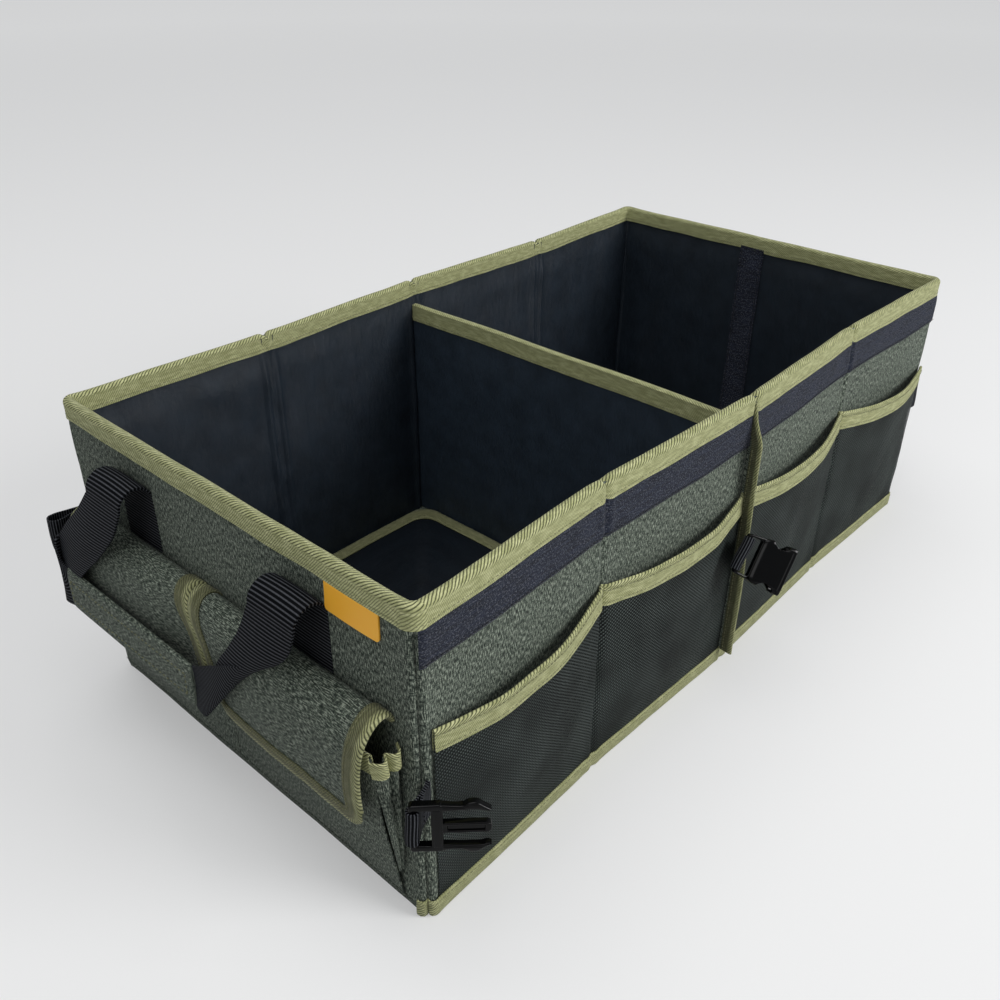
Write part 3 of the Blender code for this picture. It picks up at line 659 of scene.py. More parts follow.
def skin_wave(s, z):
    """How far the cloth stands out from the plain face: bows, folds and puckers."""
    x, y, _, _ = ring(s, z)
    places = spots(x, y, z)
    edge = np.minimum(nearest(s, FOLD_PLACES), nearest(s, CORNER_PLACES))
    low = np.clip(np.asarray(z) / HEIGHT, 0, 1)
    bow = 0.0011 * blend_step(edge, 0.0, 0.055) * np.sin(math.pi * low) ** 0.7
    groove = -0.0013 * dent(nearest(s, FOLD_PLACES), 0.0022)
    ridge = 0.0006 * dent(nearest(s, FOLD_PLACES) - 0.005, 0.003)
    below_rim = blend_step(RIM_LOW - np.asarray(z), -0.001, 0.006)
    corner = nearest(s, CORNER_PLACES)
    seam = (0.0006 * dent(corner - 0.0040, 0.0022) - 0.0027 * dent(corner, 0.0011)) * below_rim
    pucker = 0.0005 * wobble(places, 0.016, 3.1) * dent(edge, 0.020)
    broad = 0.0007 * wobble(places, 0.070, 7.7)
    fine = 0.00022 * wobble(places, 0.022, 1.3)
    return bow + (groove + ridge) * (0.6 + 0.4 * low) + seam + pucker + broad + fine


def off_ring(s, z, out, clear=0.0):
    """Points this far out of the plain face. In the corners they stay clear of the corner's centre."""
    x, y, nx, ny = ring(s, z)
    if clear:
        turning = (np.abs(nx) > 1e-9) & (np.abs(ny) > 1e-9)
        out = np.where(turning, np.maximum(out, clear - CORNER), out)
    return spots(x + nx * out, y + ny * out, z)


def skin(s, z, lift=0.0):
    """Points on the outer cloth's face, lift away from it."""
    return off_ring(s, z, skin_wave(s, z) + lift)


def columns_between(start, end, step):
    """Even columns from start to end, with more beside the folds and corners."""
    marks = list(np.linspace(start, end, max(2, int(round((end - start) / step)) + 1)))
    shifts = (0, 0.001, 0.002, 0.0035, 0.005, 0.007, 0.009)
    for place in FOLD_PLACES + CORNER_PLACES:
        for turn in (-AROUND, 0, AROUND):
            for side in (-1, 1):
                marks += [at for at in (place + turn + side * shift for shift in shifts) if start < at < end]
    marks = np.unique(np.round(marks, 5))
    kept = [marks[0]]
    for mark in marks[1:]:
        if mark - kept[-1] > CLOSEST:
            kept.append(mark)
    return np.array(kept)


def stitches(name, places, finish, body="body"):
    """Rows of thread stitches. Each place is a point, the way along and the way out."""
    around = 5
    verts, faces = [], []
    for point, along, out in places:
        point, along, out = Vector(point), Vector(along).normalized(), Vector(out).normalized()
        across = out.cross(along).normalized()
        first = len(verts)
        for share, swell in ((-0.5, 0.35), (-0.2, 1.0), (0.2, 1.0), (0.5, 0.35)):
            middle = point + along * STITCH_LONG * share
            for turn in range(around):
                angle = 2 * math.pi * turn / around
                verts.append(middle + across * (math.cos(angle) * STITCH_WIDE / 2 * swell)
                             + out * (math.sin(angle) * STITCH_TALL * swell))
        for low in range(first, first + 3 * around, around):
            for turn in range(around):
                a, b = low + turn, low + (turn + 1) % around
                faces.append((a, b, b + around, a + around))
        faces.append(tuple(range(first, first + around))[::-1])
        faces.append(tuple(range(first + 3 * around, first + 4 * around)))
    made = add_mesh(name, [tuple(v) for v in verts], faces)
    shade_smooth(made.data)
    return set_up(made, finish, body)


def stitch_places(points, outs, pitch=STITCH):
    """Places for stitches along a line of points, with the way out at each or one for all."""
    points = np.asarray(points, float)
    outs = np.broadcast_to(np.asarray(outs, float), points.shape)
    run = run_along(points)
    count = max(1, int(run[-1] / pitch))
    marks = (np.arange(count) + 0.5) * run[-1] / count
    half = pitch * 0.3

    def at(values, mark):
        return np.array([np.interp(mark, run, values[:, axis]) for axis in range(3)])

    return [(at(points, m), at(points, m + half) - at(points, m - half), at(outs, m)) for m in marks]


SEWN = {"green": [], "seam": [], "strip": []}


def sew(kind, line, outs, pitch=STITCH):
    """Adds stitches along a line to one of the shared rows."""
    SEWN[kind] += stitch_places(line, outs, pitch)


def ring_out(s, z):
    """The way out of the wall."""
    _, _, nx, ny = ring(s, z)
    return spots(nx, ny, 0)


def ring_stitches(starts, z_at, lift, pitch=STITCH):
    """Stitches along a stretch of wall at the height z_at(s)."""
    s = np.linspace(starts[0], starts[1], int((starts[1] - starts[0]) / 0.003) + 2)
    z = z_at(s)
    return stitch_places(skin(s, z, lift), ring_out(s, z), pitch)


# Walls

def make_outer():
    """The outer cloth all round, and the bottom."""
    s = columns_between(0.0, AROUND, 0.0045)[:-1]
    z = np.concatenate([[0.0012, 0.003, 0.006], np.linspace(0.011, HEIGHT - 0.0025, 42)])
    hem = 0.0012 * dent(z, 0.004)
    points = skin(s[None, :], z[:, None], -FABRIC - hem[:, None])
    cloth("outer_shell", points, "outer_fabric", FABRIC, 1,
          "front_fabric", "back_fabric", "near_fabric", "far_fabric", closed=True)

    rings = []
    edge = skin(s, 0.0012, -0.0012)
    for share in (1.0, 0.985, 0.96, 0.9, 0.8, 0.65, 0.5, 0.35, 0.2, 0.08, 0.002):
        row = edge * np.array([share, share, 1.0])
        puff = 0.00045 * (1 + wobble(row, 0.05, 5.5))
        row[:, 2] = np.where(share < 0.99, 0.0001 + puff, 0.0012)
        rings.append(row)
    cloth("bottom_cloth", rings, "outer_fabric", FABRIC, -1, "bottom_fabric", closed=True)


def make_boards():
    """The stiff boards inside the walls, each following its stretch of wall."""
    spans = []
    stops = (-HALF_L + CORNER, *FOLDS, HALF_L - CORNER)
    for start, end in zip(stops, stops[1:]):
        spans.append((front_s(start), front_s(end)))
        spans.append((back_s(end), back_s(start)))
    spans.append((far_s(-HALF_W + CORNER), far_s(HALF_W - CORNER)))
    spans.append((near_s(HALF_W - CORNER), near_s(-HALF_W + CORNER)))
    hem = 0.003
    made = []
    for start, end in spans:
        s = np.linspace(start + hem, end - hem, 14)
        z = np.linspace(0.006, HEIGHT - 0.006, 10)
        points = skin(s[None, :], z[:, None], -BOARD_IN - BOARD)
        made.append(cloth("board", points, "board", BOARD, 1, body=None))
    boards = join("wall_boards", made)
    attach(boards, "body")
    names = [f"{side}_board_{number}" for side in ("front", "back") for number in range(1, 5)]
    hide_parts(*names, "near_board", "far_board")


def lining_sag(s, z):
    """How far the loose lining stands in from the boards: long soft wrinkles."""
    x, y, _, _ = ring(s, z)
    fold = nearest(s, FOLD_PLACES)
    corner = nearest(s, CORNER_PLACES)
    down = np.clip((HEIGHT - z) / HEIGHT, 0, 1)
    fan = spots(x + 0.25 * z, y + 0.25 * z, z * 0.22)
    folds = np.clip(wobble(fan, 0.030, 11.3) + 0.15, 0, 1) * 0.0030
    fine = np.clip(wobble(fan, 0.012, 4.4), 0, 1) * 0.0009
    near_edge = 0.45 + 0.9 * dent(corner, 0.075) + 0.5 * dent(fold, 0.045)
    puff = 0.0016 * blend_step(np.minimum(fold, corner), 0.002, 0.030)
    crease = 0.0032 * dent(fold - 0.0055, 0.0028)
    free = blend_step(down, 0.050, 0.16)
    return (folds * near_edge + fine + puff) * free + crease * (0.45 + 0.55 * free)


def inside(s, z, lift=0.0):
    """Points on the lining's inner face, lift further into the box."""
    corner = nearest(s, CORNER_PLACES)
    out = skin_wave(s, z) * (1 - dent(corner, 0.008)) - WALL - lining_sag(s, z) - lift
    return off_ring(s, z, out, 0.0010)


def make_lining():
    """The four lining walls, hanging a little loose between the folds."""
    s = columns_between(0.0, AROUND, 0.0050)[:-1]
    z = np.concatenate([[0.0013], np.linspace(0.006, HEIGHT - 0.003, 44)])
    points = inside(s[None, :], z[:, None])
    cloth("lining_shell", points, "lining", LINING, 1,
          "front_lining", "back_lining", "near_lining", "far_lining", closed=True)


def ring_wobble(s, size, seed):
    x, y, _, _ = ring(s, HEIGHT)
    return wobble(spots(x, y, 0), size, seed)


def rim_pinch(s):
    return dent(nearest(s, FOLD_PLACES), 0.0026)


def rim_top(s):
    wave = 0.0005 * ring_wobble(s, 0.045, 2.2) - 0.0004
    corner = 0.0005 * dent(nearest(s, CORNER_PLACES), 0.010)
    return HEIGHT - TAPE + wave + corner - 0.0026 * rim_pinch(s)


def rim_leg_low(s, seed):
    return RIM_LOW + 0.0009 * ring_wobble(s, 0.035, seed) + 0.0012 * rim_pinch(s)


def make_rim():
    """The binding tape folded over the top of all four walls, pinched at the folds."""
    s = columns_between(0.0, AROUND, 0.0040)[:-1]
    top = rim_top(s)
    half = (WALL + 2 * GAP) / 2 + 0.0003
    middle = GAP - half
    crown = 0.0024
    outer_low, inner_low = rim_leg_low(s, RIM_OUTER), rim_leg_low(s, RIM_INNER)
    shoulder = top - crown
    rows = []
    shares = (0.0, 0.12, 0.4, 0.7, 1.0)
    for share in shares:
        z = outer_low + (shoulder - outer_low) * share
        rows.append(skin(s, z, GAP + TAPE_FLARE * (1 - share) ** 2))
    for turn in np.radians((30, 60, 90, 120, 150)):
        rows.append(rim_point(s, shoulder + crown * math.sin(turn), middle + half * math.cos(turn)))
    for share in shares[::-1]:
        z = inner_low + (shoulder - inner_low) * share
        rows.append(rim_point(s, z, -WALL - GAP - TAPE_FLARE * (1 - share) ** 2 - 0.0002))
    cloth("rim_tape", rows, "tape", TAPE, 1, "rim_binding", closed=True)


def rim_point(s, z, lift):
    """A point over the wall's top, kept from crossing itself in the corners."""
    return off_ring(s, z, skin_wave(s, z) + lift, 0.0012)


def make_rim_stitches():
    """The seam that holds the rim tape, seen on both of its faces."""
    around = (0.0, AROUND - 0.001)
    outer = ring_stitches(around, lambda s: rim_leg_low(s, RIM_OUTER) + RIM_SEAM, GAP + TAPE + 0.0002)
    s = np.linspace(*around, 700)
    z = rim_leg_low(s, RIM_INNER) + RIM_SEAM
    inner = stitch_places(rim_point(s, z, -WALL - GAP - TAPE - 0.0007), -ring_out(s, z))
    stitches("rim_stitches", outer + inner, "olive_thread")


# Front

MESH_LOW = 0.003
BOTTOM_TAPE = 0.0135
SEAMS = {
    "near": (-HALF_L + 0.0090, -QUARTER, -0.0024),
    "far": (0.0024, QUARTER, HALF_L - 0.0055),
}
MESH_TOPS = {"near": (0.1495, 0.1575, 0.1560), "far": (0.1560, 0.1585, 0.1500)}
MESH_BOW = 0.0105


def seam_shares(which, x):
    """Where x is between its two seams, from 0 to 1, and the mesh top's height there."""
    seams, tops = SEAMS[which], MESH_TOPS[which]
    first = np.asarray(x) < seams[1]
    start = np.where(first, seams[0], seams[1])
    end = np.where(first, seams[1], seams[2])
    t = np.clip((x - start) / (end - start), 0, 1)
    low = np.where(first, tops[0], tops[1])
    high = np.where(first, tops[1], tops[2])
    return t, low + (high - low) * t - 0.0045 * np.sin(math.pi * t)


def mesh_point(which, x, share, lift=0.0):
    """A point of a mesh pocket at x, share of the way up to its top edge."""
    t, top = seam_shares(which, x)
    z = MESH_LOW + (top - MESH_LOW) * share
    rise = np.clip((z - BOTTOM_TAPE) / (top - BOTTOM_TAPE), 0, 1) ** 0.65
    bow = np.sin(math.pi * t) ** 0.85
    places = spots(x, 0, z)
    slack = 0.0012 * wobble(places * np.array([1.0, 1.0, 0.35]), 0.028, 8.2) * np.sqrt(rise) * bow
    out = GAP + rise * (0.0012 + MESH_BOW * bow) + slack * (bow > 0.05) + lift
    return skin(front_s(x), z, out)


def mesh_columns(which):
    start, middle, end = SEAMS[which]
    first = np.linspace(start, middle, 40)
    second = np.linspace(middle, end, 40)
    near_fold = middle + np.array([-0.002, -0.001, 0.001, 0.002])
    return np.unique(np.concatenate([first, second, near_fold]))


def edge_tape(name, place, columns, ply, leg, top, *replaced):
    """Tape folded over a cloth's top edge. place(columns, drop, lift) gives the cloth's faces."""
    out, back = [], []
    for share in (1.0, 0.85, 0.5, 0.2):
        out.append(place(columns, leg * share, ply + GAP + TAPE_FLARE * max(0.0, share - 0.5) * 2))
        back.append(place(columns, leg * share, -GAP))
    crown = [place(columns, -top * math.sin(turn), ply / 2 + (ply / 2 + GAP) * math.cos(turn))
             for turn in np.radians((0, 45, 90, 135, 180))]
    return cloth(name, out + crown + back[::-1], "tape", TAPE, 1, *replaced)


def make_mesh_pockets():
    """Two mesh sheets with bound tops, each caught down at a fold."""
    for which in ("near", "far"):
        x = mesh_columns(which)
        shares = np.concatenate([[0.0, 0.05], np.linspace(0.1, 0.985, 22)])
        points = [mesh_point(which, x, share) for share in shares]
        made = cloth(f"mesh_sheet_{which}", points, "mesh", MESH, 1, f"mesh_pocket_{which}")

        def place(columns, drop, lift, which=which):
            _, top = seam_shares(which, columns)
            share = 1 - drop / (top - MESH_LOW)
            return mesh_point(which, columns, share, lift)

        tape = edge_tape(f"mesh_tape_{which}", place, x, MESH, 0.0140, 0.0010, f"mesh_binding_{which}")
        declare_sheet(points)
        for drop in (0.0022, 0.0115):
            line = place(x, drop, MESH + TAPE_FACE)
            sew("seam", line, (0.0, -1.0, 0.0))


def make_front_trim():
    """Hook-and-loop strips under the rim, and the tape along the lower edge."""
    spans = {"near": (-HALF_L + 0.0035, -0.0022), "far": (0.0022, HALF_L - 0.0035)}
    for which, (start, end) in spans.items():
        s = columns_between(front_s(start), front_s(end), 0.0035)
        x = s - front_s(0.0)
        low = 0.1950 + 0.0012 * wobble(spots(x, 0, 0), 0.05, 3.3)
        high = rim_leg_low(s, RIM_OUTER) - 0.0002
        rows = []
        for share in np.linspace(0, 1, 16):
            z = low + (high - low) * share
            fuzz = 0.00018 * wobble(spots(x, 0, z), 0.0035, 2.0)
            edge = 0.0007 * dent(share * 0.028, 0.0015)
            rows.append(skin(s, z, GAP - edge + fuzz))
        cloth(f"pile_strip_{which}", rows, "pile", PILE * 0.75, 1, f"front_pile_{which}")
        line = skin(s, low + 0.0022, PILE + GAP)
        sew("strip", line, (0.0, -1.0, 0.0))

    s = columns_between(-TURN * 0.95, LONG + TURN * 0.6, 0.004)
    rows = [skin(s, 0.0006, -0.0022), skin(s, 0.0006, 0.0002)]
    top = BOTTOM_TAPE + 0.0008 * wobble(spots(s, 0, 0), 0.04, 5.0)
    for share in (0.08, 0.3, 0.55, 0.8, 1.0):
        rows.append(skin(s, 0.0006 + (top - 0.0006) * share, 0.0012 + 0.0003 * math.sin(math.pi * share)))
    cloth("lower_tape", rows, "tape", TAPE, 1, "front_bottom_tape")
    sew("seam", skin(s, top - 0.0024, 0.0012 + TAPE + STITCH_LIFT), ring_out(s, top))


FIN_DEPTH = 0.0125
FIN_TOP = HEIGHT - 0.0062


def fin_point(inset, z):
    """A point of the middle fin's plane, inset from its free edge, which fades out into the rim's tape."""
    below = FIN_TOP - z
    width = FIN_DEPTH * (0.13 + 0.20 * blend_step(below, 0.0, 0.010) + 0.67 * blend_step(below, 0.008, 0.030))
    depth = max(-0.0004, width - inset)
    lean = -0.0040 * float(blend_step(z, 0.03, 0.20)) - 0.0010
    sway = 0.0014 * noise.noise(Vector((0.0, 4.0, z / 0.05)))
    return np.array([-0.0008 + (lean + sway) * depth / FIN_DEPTH, -HALF_W - depth, z])


def make_fin():
    """The bound fin between the mesh pockets."""
    levels = np.linspace(BOTTOM_TAPE - 0.0015, FIN_TOP, 60)
    ply = 0.0020
    fin = [[fin_point(inset, z) for z in levels] for inset in np.linspace(FIN_DEPTH, 0.0008, 6)]
    cloth("fin_cloth", fin, "outer_fabric", ply, 0, "front_fin")
    half = ply / 2 + GAP
    insets = (0.0095, 0.0060, 0.0020)
    profile = [(inset, -half) for inset in insets]
    profile += [(0.0010 - 0.0016 * math.sin(turn), -half * math.cos(turn))
                for turn in np.radians((30, 60, 90, 120, 150))]
    profile += [(inset, half) for inset in insets[::-1]]
    rows = [[fin_point(inset, z) + np.array([aside, 0, 0]) for z in levels] for inset, aside in profile]
    cloth("fin_tape", rows, "fin_tape", TAPE, 1, "front_fin_binding")
    sewn = levels[levels < FIN_TOP - 0.030]
    for side in (-1, 1):
        line = [fin_point(0.0072, z) + np.array([side * (half + TAPE + 0.0002), 0, 0]) for z in sewn]
        sew("seam", line, (float(side), 0.0, 0.0))


# Inside

DIVIDER_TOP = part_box("divider_binding")[1].z - TAPE
DIVIDER_THICK = 0.0052


def divider_x(y, z):
    """The divider's slight bend, flat where it is sewn to the walls."""
    held = blend_step(HALF_W - np.abs(y), 0.004, 0.060)
    places = spots(0.3, y, z * 0.5)
    bow = 0.0022 * np.sin(math.pi * (y + HALF_W) / (2 * HALF_W))
    return held * (bow + 0.0016 * wobble(places, 0.08, 2.7))


def divider_face(y, z, side):
    """A point of the divider cover's face towards -X (side -1) or +X (side 1)."""
    places = spots(side, y + 0.15 * z, z * 0.3)
    loose = 0.0018 * np.clip(wobble(places, 0.030, 6.6) + 0.1, 0, 1)
    free = blend_step(DIVIDER_TOP - z, 0.010, 0.050) * blend_step(HALF_W - np.abs(y), 0.006, 0.03)
    x = divider_x(y, z) + side * (0.0014 + loose * free)
    return spots(x, y, z)


def make_divider():
    """The divider's cover and the tape over its top edge."""
    half = HALF_W - WALL - 0.0004
    y = np.linspace(-half, half, 90)
    levels = np.linspace(0.002, DIVIDER_TOP - 0.0018, 42)
    rows = [divider_face(y, z, -1) for z in levels]
    rows += [divider_face(y, DIVIDER_TOP - 0.0010, 0)]
    rows += [divider_face(y, z, 1) for z in levels[::-1]]
    cloth("divider_cloth", rows, "divider_lining", FABRIC, -1, "divider_cover")
    board = [divider_face(y[2:-2], z, 0) for z in np.linspace(0.005, DIVIDER_TOP - 0.004, 12)]
    cloth("divider_stiffener", board, "board", BOARD, 0, "divider_board")

    def place(columns, drop, lift):
        middle = divider_x(columns, DIVIDER_TOP + 0 * columns)
        wave = 0.0005 * wobble(spots(columns, 0, 0), 0.04, 1.1)
        leg_wave = wave * (drop > 0.01)
        return spots(middle + DIVIDER_THICK / 2 - lift, columns, DIVIDER_TOP - drop + leg_wave)

    edge_tape("divider_tape", place, y, DIVIDER_THICK, 0.0135, 0.0010, "divider_binding")
    for lift, way in ((DIVIDER_THICK + TAPE_FACE, -1.0), (-TAPE_FACE, 1.0)):
        line = place(y, 0.0110, lift)
        sew("seam", line, (way, 0.0, 0.0))


def rounded_outline(low, high, radius):
    """A rounded rectangle in plan, anticlockwise."""
    corners = ((high[0], low[1], -90), (high[0], high[1], 0), (low[0], high[1], 90), (low[0], low[1], 180))
    points = []
    for x, y, start in corners:
        cx = x - math.copysign(radius, x - (low[0] + high[0]) / 2)
        cy = y - math.copysign(radius, y - (low[1] + high[1]) / 2)
        for angle in np.radians(np.linspace(start, start + 90, 9)):
            points.append((cx + radius * math.cos(angle), cy + radius * math.sin(angle)))
    dense = []
    for here, after in zip(points, points[1:] + points[:1]):
        pieces = max(1, int(math.dist(here, after) / 0.006))
        dense += [np.array(here) + (np.array(after) - here) * k / pieces for k in range(pieces)]
    return np.array(dense)


def make_bases():
    """Two cloth-covered base boards with bound edges."""
    for which in ("near", "far"):
        low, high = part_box(which + "_base_binding")
        board_low, board_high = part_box(which + "_base_board")
        line = rounded_outline(low[:2], high[:2], 0.019)
        centre = line.mean(axis=0)
        middle = np.abs(line - centre).max(axis=0).min() - 0.0003
        z_low, z_high = board_low.z, board_high.z

        def level(points, z):
            full = np.concatenate([points, np.full((len(points), 1), z)], axis=1)
            full[:, 2] += 0.0007 * (1 + wobble(full, 0.06, 4.0 if which == "near" else 9.0))
            return full

        def inset(distance):
            away = line - centre
            scale = 1 - distance / np.abs(away).max(axis=0)
            return centre + away * scale

        distances = (0.010, 0.016, 0.03, 0.05, 0.075, 0.10, 0.125, middle)
        rows = [level(inset(d), z_high - 0.0004) for d in distances]
        under = [level(inset(d), z_low + 0.0002) for d in (middle, 0.10, 0.05, 0.010)]
        cloth(f"base_cloth_{which}", rows + under, "base_lining", 0.0, 1, f"{which}_base_board", closed=True)
        profile = [(0.0125, z_low - GAP), (0.006, z_low - GAP), (0.0014, z_low - GAP),
                   (0.0005, z_low + 0.0002), (0.0, (z_low + z_high) / 2), (0.0005, z_high),
                   (0.0014, z_high + 0.0005), (0.006, z_high + 0.0005), (0.0115, z_high + 0.0004),
                   (0.0128, z_high + 0.0001)]
        rows = [level(inset(d + TAPE), z) for d, z in profile]
        cloth(f"base_tape_{which}", rows, "inner_tape", TAPE, 1, f"{which}_base_binding", closed=True)
        line_up = level(inset(0.0105), z_high + 0.0006 + TAPE)
        sew("seam", line_up, (0.0, 0.0, 1.0), 0.005)


def make_end_pile():
    """The hook-and-loop strip inside the far end, with its sewn edges."""
    low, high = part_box("far_end_pile")
    y = np.linspace(low.y, high.y, 12)
    levels = np.linspace(low.z, RIM_LOW + 0.003, 60)
    rows = []
    for z in levels:
        points = inside(far_s(y), z, 0.0004)
        points[:, 0] += 0.0003 * wobble(points, 0.004, 2.0)
        rows.append(points)
    cloth("end_pile_strip", rows, "pile", PILE * 0.8, -1, "far_end_pile")
    for edge in (low.y + 0.002, high.y - 0.002):
        line = inside(far_s(edge), levels, PILE + 0.0006)
        sew("strip", line, (-1.0, 0.0, 0.0))


# Near end

POCKET_LOW = 0.008
POCKET_TOP = 0.1375
POCKET_HALF = 0.154
POCKET_DEPTH = 0.0195
POCKET_SEAM_Y = 0.012
GUSSET_FOLD = 0.0055


def pocket_point(y, share, lift=0.0):
    """A point of the bellows pocket at y, share of the way up to its top."""
    y = np.asarray(y, float)
    z = POCKET_LOW + (POCKET_TOP - POCKET_LOW) * share + 0 * y
    swell = np.sin(math.pi / 2 * np.clip(np.abs(y - POCKET_SEAM_Y) / 0.095, 0, 1)) ** 0.8
    edge = 1 - 0.15 * dent(POCKET_HALF - np.abs(y), 0.012)
    places = spots(0, y, z * 0.5)
    crease = 0.0012 * wobble(places, 0.035, 4.9) + 0.0004 * wobble(places, 0.012, 8.1)
    belly = 0.0015 * np.sin(math.pi * share) * swell
    out = GAP + share * (0.0014 + POCKET_DEPTH * swell * edge) + belly + crease * min(1.0, share * 4) * swell
    return skin(near_s(y), z, out + lift)


def make_end_pocket():
    """The bellows pocket, its bound top, and the two folded gussets at its ends."""
    y = np.unique(np.concatenate([np.linspace(POCKET_HALF, -POCKET_HALF, 76),
                                  POCKET_SEAM_Y + np.array([-0.003, -0.0015, 0.0015, 0.003])]))[::-1]
    points = [pocket_point(y, share) for share in np.linspace(0.0, 0.985, 34)]
    made = cloth("pocket_cloth", points, "outer_fabric", FABRIC, 1, "end_pocket")

    def place(columns, drop, lift):
        return pocket_point(columns, 1 - drop / (POCKET_TOP - POCKET_LOW), lift)

    tape = edge_tape("pocket_tape", place, y, FABRIC, 0.0125, 0.0010, "end_pocket_binding")
    declare_sheet(points)
    seam = [pocket_point(np.array([POCKET_SEAM_Y]), share, FABRIC + STITCH_LIFT)[0]
            for share in np.linspace(0.02, 0.95, 30)]
    sew("green", seam, (-1.0, 0.0, 0.0))
    low_line = pocket_point(y, 0.025, FABRIC + STITCH_LIFT)
    sew("green", low_line, (-1.0, 0.0, 0.0))

    humps = curve_through([(0.0, 0.0), (0.14, 0.80), (0.30, 1.0), (0.46, 0.25), (0.54, 0.25), (0.70, 1.0),
                           (0.86, 0.80), (1.0, 0.0)], 40)
    for name, side in (("front", -1), ("back", 1)):

        def fold(_, drop, lift, side=side):
            z = POCKET_TOP - 0.0008 - drop
            rise = (z - POCKET_LOW) / (POCKET_TOP - POCKET_LOW)
            along, swell = humps[:, 0], humps[:, 1]
            dx = np.gradient(along * POCKET_DEPTH)
            dy = np.gradient(swell * GUSSET_FOLD)
            size = np.hypot(dx, dy)
            out = 0.0016 + rise * POCKET_DEPTH * along - lift * dy / size
            sideways = POCKET_HALF + 0.0022 + rise * GUSSET_FOLD * swell + lift * dx / size
            wave = 0.0005 * math.sin(z * 160 + side)
            points = spots(-HALF_L - out, side * (sideways + wave * swell), z)
            return points if side < 0 else points[::-1]

        depth = POCKET_TOP - 0.036
        rows = [fold(None, drop, 0.0) for drop in np.linspace(depth, 0.002, 30)]
        cloth(f"gusset_{name}", rows, "outer_fabric", FABRIC, 1, f"pocket_gusset_{name}")
        edge_tape(f"gusset_tape_{name}", fold, None, FABRIC, 0.0120, 0.0009)


# The flap's fall as (out from the wall, height), from its seam over the crest to its hem
FLAP_SHAPE = ((0.0006, 0.1480), (0.0022, 0.1545), (0.0060, 0.1586), (0.0112, 0.1592), (0.0165, 0.1565),
              (0.0210, 0.1512), (0.0240, 0.1440), (0.0254, 0.1350), (0.0260, 0.1230), (0.0261, 0.1110),
              (0.0256, 0.0990), (0.0242, 0.0870))


FLAP_LINE = curve_through(FLAP_SHAPE, 80)
FLAP_RUN = run_along(FLAP_LINE)
FLAP_CORNER = 0.016
FLAP_LEG = 0.0115
FLAP_WAY = np.gradient(FLAP_LINE, axis=0)
FLAP_WAY /= np.linalg.norm(FLAP_WAY, axis=1)[:, None]


def flap_surface(y, run, lift, seed):
    """Points of a flap at y, run down from its seam, and lift off its face."""
    y, run = np.broadcast_arrays(np.asarray(y, float), np.asarray(run, float))
    out, z = (np.interp(run, FLAP_RUN, FLAP_LINE[:, k]) for k in (0, 1))
    way_out, way_z = (np.interp(run, FLAP_RUN, FLAP_WAY[:, k]) for k in (0, 1))
    share = run / FLAP_RUN[-1]
    places = spots(run * 0.35, y, seed)
    ripple = 0.0016 * wobble(places, 0.045, seed) + 0.0005 * wobble(places, 0.016, seed + 3)
    middle = dent(y - POCKET_SEAM_Y, 0.030)
    off = lift + ripple * blend_step(share, 0.05, 0.5)
    slack = -0.0060 * middle * blend_step(share, 0.10, 0.55)
    out = out + slack - way_z * off
    z = z + way_out * off - 0.0030 * dent(y + 0.154, 0.05) * share
    return spots(-HALF_L - out, y, z)


def flap_split(share):
    """The middle line between the two flaps, a lazy S from the seam down."""
    sway = 0.0042 * np.sin(2 * math.pi * np.asarray(share) * 1.05)
    return 0.0125 - 0.0175 * blend_step(share, 0.05, 0.95) + sway


